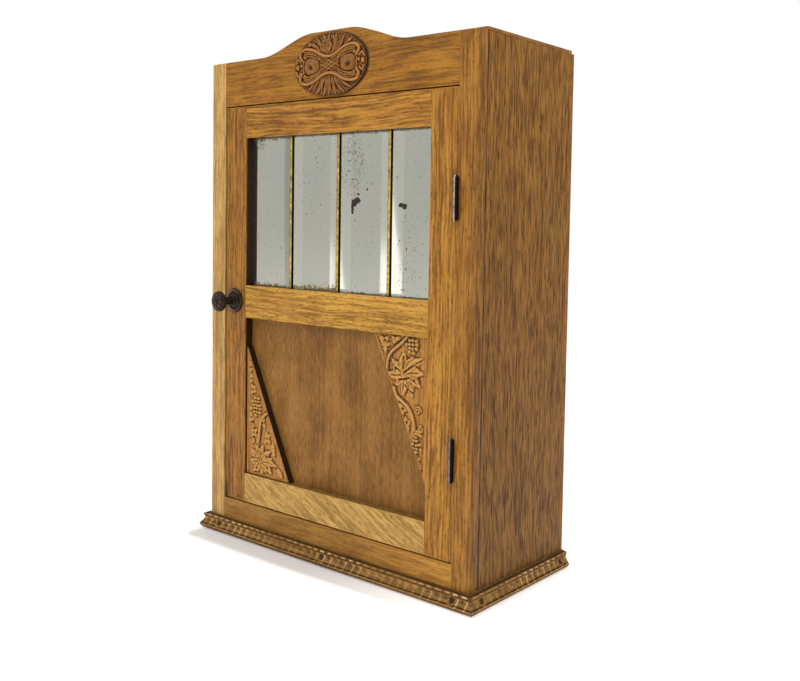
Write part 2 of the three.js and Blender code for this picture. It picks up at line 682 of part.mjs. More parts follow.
// The tongue hangs down when the door is free, and turns a quarter turn to the left to latch.
function addLatch() {
  const halfWide = 6;
  const outline = new THREE.Shape();
  outline.absarc(KNOB_X, KNOB_Z, halfWide + 1.5, 0, Math.PI, false);
  outline.lineTo(KNOB_X - halfWide + 1, KNOB_Z - TONGUE_LONG + 3);
  outline.absarc(KNOB_X, KNOB_Z - TONGUE_LONG + 5, 5, Math.PI, Math.PI * 2, false);
  const hole = new THREE.CylinderGeometry(SPINDLE_R + FIT, SPINDLE_R + FIT, 20, 20);
  hole.translate(KNOB_X, TONGUE_FRONT, KNOB_Z);
  add("latch_tongue", cut(plate(outline, [TONGUE_FRONT, TONGUE_BACK], 10), hole), DARK_STEEL);

  const nut = new THREE.CylinderGeometry(5.5, 5.5, NUT_THICK, 6);
  nut.translate(KNOB_X, NUT_FRONT + NUT_THICK / 2, KNOB_Z);
  add("latch_nut", cut(nut, hole), DARK_STEEL);

  const keeperX = [-INNER_X + FIT, -OPENING_X];
  const keeperY = [FACE_BACK + FIT, TONGUE_FRONT - KEEPER_GAP];
  add("latch_keeper", block(keeperX, keeperY, [KNOB_Z - 22, KNOB_Z + 22]), AMBER_OAK);
}

addSidePanels();
addShelves();
addFlatPanels();
addBack();
addHangers();
addFaceStiles();
addFaceRails();
addMedallion();
addMouldings();
addHinges();
addDoorFrame();
addMirrors();
addCames();
addBacking();
addLowerPanel();
addCornerCarvings();
addKnob();
addLatch();

export default cabinet;
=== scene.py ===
"""Looks of a vintage oak medicine cabinet with a mirrored door, built round its CAD frame.

Carved, moulded and turned pieces are dense meshes that stand in for plain CAD nodes. Every
other node keeps its CAD shape and gets softened edges and a procedural finish.
Meshes are worked out in millimetres, and MM turns them into Blender's metres.
"""
import math

import bmesh
import bpy
import numpy as np
from mathutils import Matrix, Vector


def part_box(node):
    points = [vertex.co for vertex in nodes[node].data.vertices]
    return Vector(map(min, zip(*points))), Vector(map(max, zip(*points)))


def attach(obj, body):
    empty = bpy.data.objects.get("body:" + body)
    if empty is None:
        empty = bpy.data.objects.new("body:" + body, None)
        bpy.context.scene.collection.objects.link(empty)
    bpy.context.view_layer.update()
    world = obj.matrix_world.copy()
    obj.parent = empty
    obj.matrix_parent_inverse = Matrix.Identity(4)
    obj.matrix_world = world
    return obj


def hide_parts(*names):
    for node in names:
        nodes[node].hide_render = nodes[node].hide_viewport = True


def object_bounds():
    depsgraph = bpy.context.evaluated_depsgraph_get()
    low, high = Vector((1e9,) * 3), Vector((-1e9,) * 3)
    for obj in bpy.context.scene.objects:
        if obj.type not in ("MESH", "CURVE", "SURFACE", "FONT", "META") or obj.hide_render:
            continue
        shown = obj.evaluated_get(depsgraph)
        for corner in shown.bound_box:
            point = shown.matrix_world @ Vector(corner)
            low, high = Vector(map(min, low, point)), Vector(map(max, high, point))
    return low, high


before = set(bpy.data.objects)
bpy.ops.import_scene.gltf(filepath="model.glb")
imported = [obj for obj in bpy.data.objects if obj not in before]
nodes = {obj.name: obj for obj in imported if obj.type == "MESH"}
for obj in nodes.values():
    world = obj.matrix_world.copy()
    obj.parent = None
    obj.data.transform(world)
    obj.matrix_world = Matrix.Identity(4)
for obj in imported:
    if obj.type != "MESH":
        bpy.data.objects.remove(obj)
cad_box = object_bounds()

MM = 0.001
CARVED_CREASE = math.radians(48)  # sharper edges of new meshes aren't shaded smooth
METAL_CREASE = math.radians(35)  # the same for CAD metal
ROUNDED_EDGE = math.radians(50)  # sharper edges of CAD nodes are rounded
ROOM_LIGHT = 0.70
WALL_LIGHT = 0.605  # on the wall that the flat part of the mirrors shows
scene = bpy.context.scene


# ---------- measures taken from the frame ----------
def box_mm(node):
    """Lowest and highest corner of a CAD node, in millimetres."""
    low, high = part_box(node)
    return np.array(low) / MM, np.array(high) / MM


STILE_LOW, STILE_HIGH = box_mm("door_stile_hinge")
DOOR_FRONT = STILE_LOW[1]
LIGHT_X = STILE_LOW[0]  # half the width of the door's two openings
GLAZING_Y = box_mm("lower_panel")[0][1]
MIRROR_Z = (box_mm("door_rail_middle")[1][2], box_mm("door_rail_top")[0][2])
PANEL_Z = (box_mm("door_rail_bottom")[1][2], box_mm("door_rail_middle")[0][2])
CARCASS_FRONT = box_mm("face_stile_left")[0][1]
CARCASS_BACK = box_mm("back_panel")[1][1]
CARCASS_X = box_mm("side_panel_right")[1][0]
OPENING_X = box_mm("face_stile_right")[0][0]
SIDE_FRONT = box_mm("side_panel_right")[0][1]


# ---------- number helpers ----------
def bounded(values):
    """Numbers cut to the range from 0 to 1."""
    return np.clip(values, 0, 1)


def hump(values, middle, width):
    """A smooth hump that is 1 at its middle and dies away to either side."""
    return np.exp(-(((values - middle) / width) ** 2))


def circle_path(centre, radius, angle):
    """Points round a centre. radius may change from point to point."""
    return np.stack([centre[0] + radius * np.cos(angle), centre[1] + radius * np.sin(angle)], 1)


def smooth_path(points, steps=8):
    """A Catmull-Rom curve through the points, as an array of points."""
    points = np.array(points, float)
    padded = np.vstack([2 * points[0] - points[1], points, 2 * points[-1] - points[-2]])
    t = np.linspace(0, 1, steps, endpoint=False)[:, None]
    parts = []
    for a, b, c, d in zip(padded, padded[1:], padded[2:], padded[3:]):
        bend = (2 * a - 5 * b + 4 * c - d) * t**2 + (3 * b - a - 3 * c + d) * t**3
        parts.append(0.5 * (2 * b + (c - a) * t + bend))
    return np.vstack(parts + [points[-1:]])


# ---------- mesh helpers ----------
SIDE_RELIEF = -0.3  # for the side and back of a carved sheet, darker than any hollow


def quad_grid(rows, columns, wrap):
    """Faces of a grid of points numbered row by row; wrap joins the last column to the first."""
    faces = []
    for row in range(rows - 1):
        for column in range(columns if wrap else columns - 1):
            following = (column + 1) % columns
            here, above = row * columns, (row + 1) * columns
            faces.append((here + column, here + following, above + following, above + column))
    return faces


def closed_sheet(front, back_y):
    """A solid with a grid of points as its front and a flat back at back_y. Its side has one
    more loop of points just behind the front, so that its side can be darker."""
    arris = 0.3
    rows, columns = front.shape[:2]
    faces = quad_grid(rows, columns, wrap=False)
    bottom = list(range(columns))
    right = [row * columns + columns - 1 for row in range(1, rows)]
    top = [(rows - 1) * columns + column for column in range(columns - 2, -1, -1)]
    left = [row * columns for row in range(rows - 2, 0, -1)]
    rim = bottom + right + top + left
    points = front.reshape(-1, 3)
    count = len(rim)
    behind = points[rim] + [0, arris, 0]
    back = points[rim].copy()
    back[:, 1] = back_y
    loops = [rim, list(range(len(points), len(points) + count))]
    loops.append([index + count for index in loops[1]])
    for near, far in zip(loops, loops[1:]):
        for i in range(count):
            following = (i + 1) % count
            faces.append((near[i], near[following], far[following], far[i]))
    faces.append(tuple(loops[2]))
    return np.vstack([points, behind, back]), faces


def closed_tube(rings):
    """A solid made of closed rings of points, one after another, with both ends filled."""
    rows, columns = rings.shape[:2]
    faces = quad_grid(rows, columns, wrap=True)
    faces.append(tuple(range(columns)))
    faces.append(tuple(range((rows - 1) * columns, rows * columns)))
    return rings.reshape(-1, 3), faces


def add_piece(name, solid, finish, body, stands_for, relief):
    """Adds a smooth mesh that rides on a body and stands for CAD nodes. relief is one number
    for each front point, which the finishes use to darken hollows and lighten ridges."""
    points, faces = solid
    mesh = bpy.data.meshes.new(name)
    mesh.from_pydata((points * MM).tolist(), [], faces)
    work = bmesh.new()
    work.from_mesh(mesh)
    bmesh.ops.recalc_face_normals(work, faces=work.faces)
    work.to_mesh(mesh)
    work.free()
    mesh.shade_smooth()
    mesh.set_sharp_from_angle(angle=CARVED_CREASE)
    values = np.full(len(points), SIDE_RELIEF, np.float32)
    values[: relief.size] = relief.ravel()
    mesh.attributes.new("relief", "FLOAT", "POINT").data.foreach_set("value", values)
    mesh.materials.append(finish)
    piece = bpy.data.objects.new(name, mesh)
    scene.collection.objects.link(piece)
    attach(piece, body)
    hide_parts(*stands_for)


def smoothing_group():
    """A geometry node group that shades faces smooth but keeps sharp edges sharp."""
    group = bpy.data.node_groups.new("smooth_round_metal", "GeometryNodeTree")
    group.interface.new_socket("Geometry", in_out="INPUT", socket_type="NodeSocketGeometry")
    group.interface.new_socket("Geometry", in_out="OUTPUT", socket_type="NodeSocketGeometry")
    start = group.nodes.new("NodeGroupInput")
    end = group.nodes.new("NodeGroupOutput")
    faces = group.nodes.new("GeometryNodeSetShadeSmooth")
    edges = group.nodes.new("GeometryNodeSetShadeSmooth")
    edges.domain = "EDGE"
    edges.inputs["Shade Smooth"].default_value = False
    angle = group.nodes.new("GeometryNodeInputMeshEdgeAngle")
    sharp = group.nodes.new("FunctionNodeCompare")
    sharp.operation = "GREATER_THAN"
    sharp.inputs[1].default_value = METAL_CREASE
    group.links.new(angle.outputs["Unsigned Angle"], sharp.inputs[0])
    group.links.new(sharp.outputs[0], edges.inputs["Selection"])
    group.links.new(start.outputs[0], faces.inputs["Geometry"])
    group.links.new(faces.outputs[0], edges.inputs["Geometry"])
    group.links.new(edges.outputs[0], end.inputs[0])
    return group


SMOOTHING = smoothing_group()


def dress(node, finish, rounding, segments=2, round_metal=False):
    """Gives a CAD node its finish, and rounds its sharp edges by so many millimetres."""
    piece = nodes[node]
    piece.material_slots[0].material = finish
    bevel = piece.modifiers.new("worn_edges", "BEVEL")
    bevel.width = rounding * MM
    bevel.segments = segments
    bevel.angle_limit = ROUNDED_EDGE
    bevel.use_clamp_overlap = False
    if round_metal:
        piece.modifiers.new("smooth", "NODES").node_group = SMOOTHING


# ---------- carving ----------
def soften(field, rounds):
    """Averages each number of a grid with its neighbours, a number of times."""
    for _ in range(rounds):
        wide = np.pad(field, 1, mode="edge")
        field = (wide[:-2, 1:-1] + wide[2:, 1:-1] + wide[1:-1, :-2] + wide[1:-1, 2:]) / 4
    return field


class Relief:
    """A height over a grid of flat places, in millimetres, shaped by strokes of a gouge."""

    def __init__(self, across, up):
        self.across = across
        self.up = up
        self.height = np.zeros_like(across)

    def near(self, path, reach):
        """How far each place is from a path, up to reach, and its share of the path's length."""
        distance = np.full(self.across.shape, float(reach))
        share = np.zeros(self.across.shape)
        steps = np.linalg.norm(np.diff(path, axis=0), axis=1)
        travelled = np.concatenate([[0], np.cumsum(steps)]) / steps.sum()
        for start, end, before, after in zip(path, path[1:], travelled, travelled[1:]):
            low = np.minimum(start, end) - reach
            high = np.maximum(start, end) + reach
            window = (self.across > low[0]) & (self.across < high[0])
            window &= (self.up > low[1]) & (self.up < high[1])
            run = end - start
            x = self.across[window] - start[0]
            y = self.up[window] - start[1]
            t = bounded((x * run[0] + y * run[1]) / (run @ run))
            gap = np.hypot(x - t * run[0], y - t * run[1])
            closer = gap < distance[window]
            distance[window] = np.where(closer, gap, distance[window])
            share[window] = np.where(closer, before + (after - before) * t, share[window])
        return distance, share

    def lift(self, height):
        """Raises whatever is lower than this height to it."""
        self.height = np.maximum(self.height, height)

    def ridge(self, path, half_width, height, taper=np.ones_like):
        """A rounded ridge. taper scales its width and height along its length."""
        distance, share = self.near(path, 1.3 * half_width)
        scale = taper(share)
        inside = bounded(1 - (distance / (half_width * scale + 1e-6)) ** 2)
        self.lift(height * scale**0.5 * inside**0.5)

    def groove(self, path, half_width, depth):
        """A rounded cut along a path, no deeper than the ground."""
        distance, _ = self.near(path, half_width)
        cut = depth * bounded(1 - (distance / half_width) ** 2)
        self.height = np.maximum(self.height - cut, 0)

    def dome(self, centre, radii, height, squareness=2.0, ditch=0.0):
        """A domed boss on an oval or rounded square foot. ditch is how wide the cut round it
        is, as a share of its size."""
        x = np.abs(self.across - centre[0]) / radii[0]
        y = np.abs(self.up - centre[1]) / radii[1]
        reach = x**squareness + y**squareness
        if ditch:
            cut = bounded((reach ** (1 / squareness) - 1) / ditch)
            self.height *= 0.25 + 0.75 * cut**2
        self.lift(height * bounded(1 - reach) ** 0.5)

    def pit(self, centre, radius, depth):
        """A punched hollow."""
        away = np.hypot(self.across - centre[0], self.up - centre[1]) / radius
        self.height = np.maximum(self.height - depth * np.exp(-(away**2)), 0)

    def lobe(self, root, tip, half_width, height, bow=0.0):
        """One lobe of a leaf, with a scalloped edge and a vein down its middle."""
        root, tip = np.array(root, float), np.array(tip, float)
        side = np.array([root[1] - tip[1], tip[0] - root[0]])
        spine = smooth_path([root, (root + tip) / 2 + bow * side, tip])
        scallops = 3

        def leaf_edge(share):
            swell = np.sin(np.pi * bounded(0.2 + 0.8 * share)) ** 0.6
            return swell * (1 + 0.10 * np.cos(2 * np.pi * scallops * share))

        self.ridge(spine, half_width, height, leaf_edge)
        self.groove(spine[: int(len(spine) * 0.8)], 0.2 * half_width, 0.38 * height)

    def spiral(self, centre, radius, turns, start, half_width, height):
        """A tendril that winds in to its centre."""
        t = np.linspace(0, 1, int(turns * 18))
        path = circle_path(centre, radius * (1 - 0.8 * t), start + turns * 2 * np.pi * t)
        self.ridge(path, half_width, height)

    def berries(self, first, rows, pitch, radius, height):
        """A bunch of grapes: rows of berries, each row half a pitch off the one before."""
        draw = np.random.default_rng(len(rows))
        for row, count in enumerate(rows):
            for i in range(count):
                shift = (i - (count - 1) / 2) * pitch + (row % 2 - 0.5) * 0.4 * pitch
                nudge = draw.uniform(-0.12, 0.12, 2) * pitch
                centre = (first[0] + shift + nudge[0], first[1] + row * 0.86 * pitch + nudge[1])
                self.dome(centre, (radius, radius), height, ditch=0.3)

    def stipple(self, depth, seed, cover):
        """Punched dots on the ground, where the carving is lower than cover."""
        dots = soften(np.random.default_rng(seed).normal(size=self.height.shape), 2)
        dots /= 3 * dots.std()
        ground = bounded((cover - self.height) / cover)
        self.height = np.maximum(self.height + depth * dots * ground, 0)

    def tone(self, rounds, gain, crown=0.0):
        """0 in hollows, 0.5 on even ground and 1 on ridges. crown also lightens whatever
        stands high."""
        steep = gain * (self.height - soften(self.height, rounds))
        return bounded(0.5 + steep + crown * (self.height - self.height.mean()))


def carve_medallion(relief, half_wide, half_high):
    """Two crossing ribbons in a lying figure of eight, with leaf fans above and below."""
    relief.lift(0.9)
    carve_fans(relief, half_wide, half_high)
    carve_side_buds(relief)
    carve_bow(relief)


def carve_fans(relief, half_wide, half_high):
    """Leaves that spread upwards and downwards from the crossing, each a broad lobe between
    two thin ones, and a bud in the upper fan."""
    leaves = 9
    spread = math.radians(140)
    draw = np.random.default_rng(11)
    for side in (1, -1):
        for i in range(leaves):
            angle = math.pi / 2 + spread * (i / (leaves - 1) - 0.5)
            for turn, width, short in ((-0.10, 1.2, 2.6), (0.10, 1.2, 2.0), (0.0, 2.2, -2.0)):
                lean = angle + turn + draw.uniform(-0.03, 0.03)
                reach = 1 / math.hypot(math.cos(lean) / half_wide, math.sin(lean) / half_high)
                reach -= short + draw.uniform(0, 1.4)
                root = 9 + 3 * abs(math.cos(lean))
                start = (root * math.cos(angle), side * root * math.sin(angle))
                tip = (reach * math.cos(lean), side * reach * math.sin(lean))
                relief.lobe(start, tip, width, 3.3, bow=draw.uniform(-0.12, 0.12))
    relief.dome((-0.5, 21.5), (8.0, 9.0), 1.0)
    for side in (-1, 1):
        petal = [(side * 2.5, 12.5), (side * 8.4, 17), (side * 9.6, 23), (side * 6.2, 30.5)]
        relief.ridge(smooth_path(petal), 1.4, 3.0)
        relief.dome((side * 31, 24), (3.0, 2.5), 3.4)
    relief.ridge(smooth_path([(-1, 27.5), (-4.8, 22), (-1, 16), (3.2, 20.5), (0.6, 24.5)]), 1.3, 3.2)


def carve_side_buds(relief):
    """A bud between two curled leaves at each end."""
    for side in (-1, 1):
        for up in (-1, 1):
            curl = [(side * 46, up * 6.5), (side * 50.5, up * 9.5), (side * 53, up * 5)]
            relief.ridge(smooth_path(curl), 1.6, 3.0)
        relief.dome((side * 51, 0.5), (3.0, 3.6), 3.4, ditch=0.4)
        relief.dome((side * 45, 2.0), (2.2, 2.6), 3.2, ditch=0.4)


def carve_bow(relief):
    """The ribbons: a broad outer ridge with strands inside it in each of the four loops, woven
    into a net at the waist, and a plump boss in each pair of loops."""
    outer = [(43, 8.0), (45.8, 12.5), (43.5, 17.5), (35, 19.5), (22.5, 17), (13, 12.4), (4.5, 9.6)]
    carve_net(relief)
    for side in (-1, 1):
        relief.dome((side * 28.3, 0.5), (12.6, 10.2), 4.4, 2.5, ditch=0.16)
        relief.pit((side * 30.2, -0.8), 3.2, 3.0)
        relief.pit((side * 27.4, -2.6), 2.6, 1.8)
        for up in (-1, 1):
            curl = [(side * 41.2, 0), (side * 42, up * 3.6), (side * 40.5, up * 7)]
            relief.ridge(smooth_path(curl), 1.2, 2.6)
            for strand in (1, 2, 3):
                path = np.array([
                    (41.5 - 0.9 * strand, 12.0 - strand),
                    (37.8 - 0.2 * strand, 17.2 - 2.2 * strand),
                    (33, 18.7 - 2.35 * strand),
                    (22.5, 16.5 - 2.3 * strand),
                    (13.5, 12.4 - 2.2 * strand),
                ])
                relief.ridge(smooth_path(path * [side, up]), 1.0, 3.4)
    for up in (-1, 1):
        ridge = np.array(outer + [(-x, y) for x, y in reversed(outer)]) * [1, up]
        relief.ridge(smooth_path(ridge), 2.2, 4.5)


def carve_net(relief):
    """The woven waist: five strands that come down from the left and five that come down from
    the right, with holes punched between them."""
    waist = 14.5
    strands = 5
    inside = (np.abs(relief.up) < 12) & (np.abs(relief.across) < waist)
    relief.height = np.where(inside, 0.7, relief.height)
    for turn in (-1, 1):
        for strand in range(1, strands + 1):
            path = [
                (-waist * turn, 12.6 - 2.2 * strand),
                (-6.5 * turn, 9.9 - 2.25 * strand),
                (0, 2.3 * (3 - strand)),
                (6.5 * turn, -9.9 + 2.25 * (6 - strand)),
                (waist * turn, -12.6 + 2.2 * (6 - strand)),
            ]
            relief.ridge(smooth_path(path), 0.95, 2.9 + 0.5 * (strand % 2))


def carve_leaf(relief, heart, lobes):
    """A vine leaf: lobes as (across, up, half width) round its heart, each with two smaller
    lobes beside it."""
    serration = 0.55
    heart = np.array(heart, float)
    for across, up, width in lobes:
        tip = np.array((across, up), float)
        run = tip - heart
        for turn in (-0.75, 0.75):
            aside = np.array([
                run[0] * math.cos(turn) - run[1] * math.sin(turn),
                run[0] * math.sin(turn) + run[1] * math.cos(turn),
            ])
            start = heart + 0.35 * run
            relief.lobe(start, start + 0.42 * aside, serration * width, 2.9)
    for across, up, width in lobes:
        relief.lobe(heart, (across, up), 0.85 * width, 3.5, bow=0.06)


def carve_sprig(relief, heart, tips, half_width):
    """A little leaf with a plain lobe from its heart to each of its tips."""
    for tip in tips:
        relief.lobe(heart, tip, half_width, 2.9)


def carve_vine(relief):
    """A vine in a tall triangular corner. Across is measured from the upright edge, and up
    from the level edge."""
    carve_leaf(relief, (33, 41), (
        (34, 17, 7.5), (51, 26, 7.0), (57, 42, 7.0), (45, 54, 6.0), (35, 64, 6.0),
        (21, 65, 6.0), (10, 53, 6.5), (6, 38, 6.5), (8, 22, 7.0), (21, 21, 5.0),
    ))
    for fold in (
        [(33.8, 21.5), (33, 27), (33, 34)],
        [(32.8, 38.5), (21, 31.5), (8, 23)],
        [(39.6, 36.7), (46, 34.5), (51, 30.7)],
        [(39.4, 47), (33, 46), (24.6, 43.8)],
        [(30, 52), (25, 57), (20, 60)],
    ):
        relief.groove(smooth_path(fold), 1.3, 2.0)
    for hollow in ((45, 36), (48, 49), (39, 57), (18, 46), (16, 31), (28, 57), (42, 25), (27, 20)):
        relief.pit(hollow, 1.4, 2.2)
    carve_small_leaves(relief)
    relief.groove(smooth_path([(33, 1), (41, 8), (49, 14), (54.5, 22)]), 2.6, 1.6)
    branch = [(29, 0), (36, 6.5), (44, 12.5), (51.6, 18.4), (56, 25), (58, 36)]
    relief.ridge(smooth_path(branch), 1.5, 3.3)
    stem = [(47.5, 57), (43, 65), (35, 70), (28, 74.5), (22.5, 81), (19, 88.5), (17.2, 98)]
    relief.groove(smooth_path(stem) + [-3.0, -1.8], 1.5, 2.8)
    relief.ridge(smooth_path(stem), 2.0, 3.6)
    relief.berries((22, 4), (3, 4, 3, 2), 4.8, 2.3, 3.4)
    relief.berries((15.5, 106), (1, 2, 3, 2, 1), 4.6, 2.2, 3.4)
    relief.spiral((13.5, 77.5), 4.6, 1.6, math.pi, 1.0, 2.6)
    relief.spiral((8.5, 97), 4.0, 1.5, -math.pi / 2, 0.9, 2.4)


def carve_low_vine(relief):
    """The vine of the lower corner: a broad leaf at its foot under a stem and a long bunch."""
    carve_leaf(relief, (27, 19), (
        (30, 39, 5.5), (44, 33, 5.0), (55, 16, 5.5), (46, 5, 5.5), (29, 2, 5.5),
        (12, 4, 6.0), (6, 17, 6.0), (9, 31, 6.0), (19, 38, 5.0),
    ))
    for hollow in ((37, 26), (40, 12), (20, 9), (15, 21), (21, 30), (33, 32), (50, 22), (60, 6)):
        relief.pit(hollow, 1.5, 2.4)
    relief.lobe((58, 12), (65, 3), 3.6, 3.0)
    relief.lobe((50, 30), (47, 45), 3.2, 3.0)
    for heart, tips in (
        ((38, 48), [(33, 41), (43, 42), (36, 56), (42, 54)]),
        ((14, 52), [(9, 46), (20, 47), (9, 56), (19, 57)]),
        ((30, 66), [(34, 60), (32, 74), (26, 70)]),
        ((9, 70), [(6, 64), (7, 77), (13, 67)]),
        ((12, 105), [(8, 99), (17, 102), (9, 112), (15, 110)]),
        ((9, 118), [(7, 113), (8, 125)]),
        ((7, 132), [(8, 127), (6, 140)]),
    ):
        carve_sprig(relief, heart, tips, 2.6)
        relief.pit(heart, 1.4, 2.2)
    stem = [(38, 79), (33, 76), (28, 69), (25, 60), (23.5, 50), (22, 41)]
    relief.groove(smooth_path(stem) + [-2.6, 0.0], 1.4, 2.4)
    relief.ridge(smooth_path(stem), 1.7, 3.6)
    relief.berries((18, 74), (1, 3, 4, 3, 3, 2), 4.9, 2.3, 3.5)
    relief.spiral((11, 42), 4.0, 1.6, math.pi, 0.9, 2.8)
    relief.spiral((9, 60), 4.0, 1.5, -math.pi / 2, 0.9, 2.8)


def carve_small_leaves(relief):
    """The little leaves: by the top corner, beside the stem, over the grapes and at the tip."""
    for heart, tips, width in (
        ((62, 9), [(69, 2.5), (57, 2.5), (55, 12), (60, 20), (66, 12)], 3.6),
        ((46, 5), [(52, 1.5), (40, 1.5), (50, 9)], 2.8),
        ((34, 77), [(41, 73), (28, 80), (35, 85), (40, 79)], 2.8),
        ((28, 94), [(31, 86), (24, 90), (26, 102), (31, 96)], 3.0),
        ((12, 101), [(8, 97), (20, 107), (7, 105), (18, 100)], 2.6),
        ((9, 116), [(7, 110), (8, 122)], 1.8),
        ((10, 133), [(11, 126), (8, 141), (12, 135)], 2.0),
        ((7, 163), [(9, 155), (6, 170)], 1.8),
    ):
        carve_sprig(relief, heart, tips, width)
    for hollow in ((61, 6.5), (64.5, 14), (57.5, 8), (34, 78), (28, 92), (9, 114), (10, 131)):
        relief.pit(hollow, 1.6, 2.4)


def medallion_piece(finish):
    """The oval carving on the crest. A square grid is bent into the oval."""
    pitch = 0.42
    rim_start, rim_high = 0.98, 1.5
    low, high = box_mm("crest_medallion")
    middle = (low + high) / 2
    half_wide, half_high = (high[0] - low[0]) / 2, (high[2] - low[2]) / 2
    u, v = np.meshgrid(
        np.linspace(-1, 1, int(2 * half_wide / pitch)),
        np.linspace(-1, 1, int(2 * half_high / pitch)),
    )
    across = half_wide * u * np.sqrt(1 - v**2 / 2)
    up = half_high * v * np.sqrt(1 - u**2 / 2)
    relief = Relief(across, up)
    carve_medallion(relief, half_wide, half_high)
    relief.height = soften(relief.height, 1)
    relief.lift(rim_high * (np.hypot(across / half_wide, up / half_high) > rim_start))
    thick = high[1] - low[1]
    relief.height *= thick / relief.height.max()
    front = np.stack([middle[0] + across, high[1] - relief.height, middle[2] + up], 2)
    solid = closed_sheet(front, high[1])
    add_piece(
        "medallion_carving", solid, finish, "carcass",
        ["crest_medallion"], relief.tone(rounds=10, gain=0.95, crown=0.07),
    )


def corner_piece(corner, turn, carve, strip_wide, finish):
    """A carved triangle; turn is -1 for the upper right corner and 1 for the lower left. A
    plain strip is left along its upright edge."""
    node = "corner_carving_" + corner
    pitch = 0.55
    tip_width = 0.8
    strip_high = 0.9
    border_wide, border_high = 1.5, 1.1
    ground_depth = 3.4
    low, high = box_mm(node)
    wide, tall = high[0] - low[0], high[2] - low[2]
    rows, columns = int(tall / pitch), int(0.72 * wide / pitch)
    down, share = np.meshgrid(np.linspace(0, tall, rows), np.linspace(0, 1, columns), indexing="ij")
    across = share * (wide * (1 - down / tall) + tip_width * down / tall)
    relief = Relief(across, down)
    carve(relief)
    relief.stipple(1.0, seed=5, cover=1.8)
    strip = bounded((strip_wide - across) / 1.2)
    relief.height = np.maximum(relief.height * (1 - strip), strip_high * strip)
    long_edge = (1 - share) * (wide * (1 - down / tall) + tip_width)
    border = bounded((border_wide - long_edge) / 0.8)
    relief.height = relief.height * (1 - border) + border_high * border
    relief.height = soften(relief.height, 1)
    ground = low[1] + ground_depth
    corner_x, corner_z = (low[0], low[2]) if turn > 0 else (high[0], high[2])
    front = np.stack(
        [corner_x + turn * across, ground - relief.height, corner_z + turn * down], 2
    )
    solid = closed_sheet(front, high[1])
    add_piece(
        "vine_carving_" + corner, solid, finish, "door",
        [node], relief.tone(rounds=9, gain=0.85),
    )


# ---------- base moulding ----------
def moulding_section(nose, high, back):
    """Points round the moulding's section as (outward, up), from the foot of its back to the
    top of its back: a blunt nose, a cove above it and a round bead on top."""
    toe = nose - 2.5
    nose_up = 5
    bead_out = 4.2
    bead_radius = 3.2
    t = np.linspace(0, 1, 18)[:, None]

    def bend(a, b, c):
        return (1 - t) ** 2 * np.array(a) + 2 * t * (1 - t) * np.array(b) + t**2 * np.array(c)

    foot = np.array([(back + (toe - back) * s, 0.0) for s in np.linspace(0, 1, 8)])
    lip = bend((toe, 0), (nose, 1.5), (nose, nose_up))
    cove = bend((nose, nose_up), (7.2, 8), (5.8, 12.8))
    turn = np.linspace(-np.pi / 3, np.pi / 2, 16)
    top = circle_path((bead_out, high - bead_radius), bead_radius, turn)
    return np.vstack([foot, lip, cove[1:], top[1:], [(back, high)]])


def moulding_pattern(along, up, rosettes):
    """How far the moulding's face stands out from its plain section, at a place along it
    and a height up it: dashes on the bead, a row of hooked tongues on the cove, two lines
    at the foot, and round bosses. Slow waves make the cutting worn and uneven."""
    motif = 11.3
    bead_up = 16.9
    boss_up = 10.0
    boss_radius = 5.4
    wear = 0.75 + 0.28 * np.sin(along / 29.0 + 0.8) + 0.18 * np.sin(along / 7.9 + 1.3)
    unevenness = 0.05 * np.sin(along / 17.0) + 0.05 * np.sin(along / 5.3 + 2.0)

    def line(height, blur):
        return hump(up, height, blur)

    share = (along / motif + unevenness) % 1
    strand = share + 0.07 * (up - 16.5)
    dash = np.clip(1.5 * np.cos(2 * np.pi * (strand - 0.25)) + 0.6, -0.5, 1)
    carved = 0.95 * wear * dash * line(bead_up, 0.95)
    carved -= 1.1 * line(bead_up + 2.0, 0.5)
    carved -= (0.65 + 0.35 * dash) * line(bead_up - 2.1, 0.8)
    hook = hump(share, 0.46, 0.26) * line(12.6, 0.8)
    bend = 0.46 + 0.05 * np.sin((up - 8) / 2.2)
    tongue = hump(share, bend, 0.10) * bounded(1.3 - ((up - 8.5) / 4.2) ** 4)
    hollow = hump(share, 0.96, 0.14) + hump(share, -0.04, 0.14)
    carved += wear * (0.65 * hook + 0.85 * tongue - 0.35 * hollow * line(11.2, 1.8))
    bars = line(10.2, 0.5) + line(7.6, 0.5)
    carved -= 0.14 * bars * (1 - bounded(tongue))
    carved += 0.55 * line(4.4, 0.8) * (0.8 + 0.2 * dash)
    carved -= 0.9 * line(6.0, 0.6) + 0.6 * line(2.4, 0.6)
    for middle in rosettes:
        radius = np.hypot(along - middle, 1.1 * (up - boss_up))
        inside = bounded((boss_radius - radius) / 0.8)
        ring = 0.3 * hump(radius, 4.3, 0.6)
        petals = 0.25 * np.cos(6 * np.arctan2(up - boss_up, along - middle))
        petals *= bounded(radius / 4)
        bowl = -1.1 * hump(radius, 0, 3.0)
        carved = carved * (1 - inside) + (ring + bowl + petals) * inside
    return carved


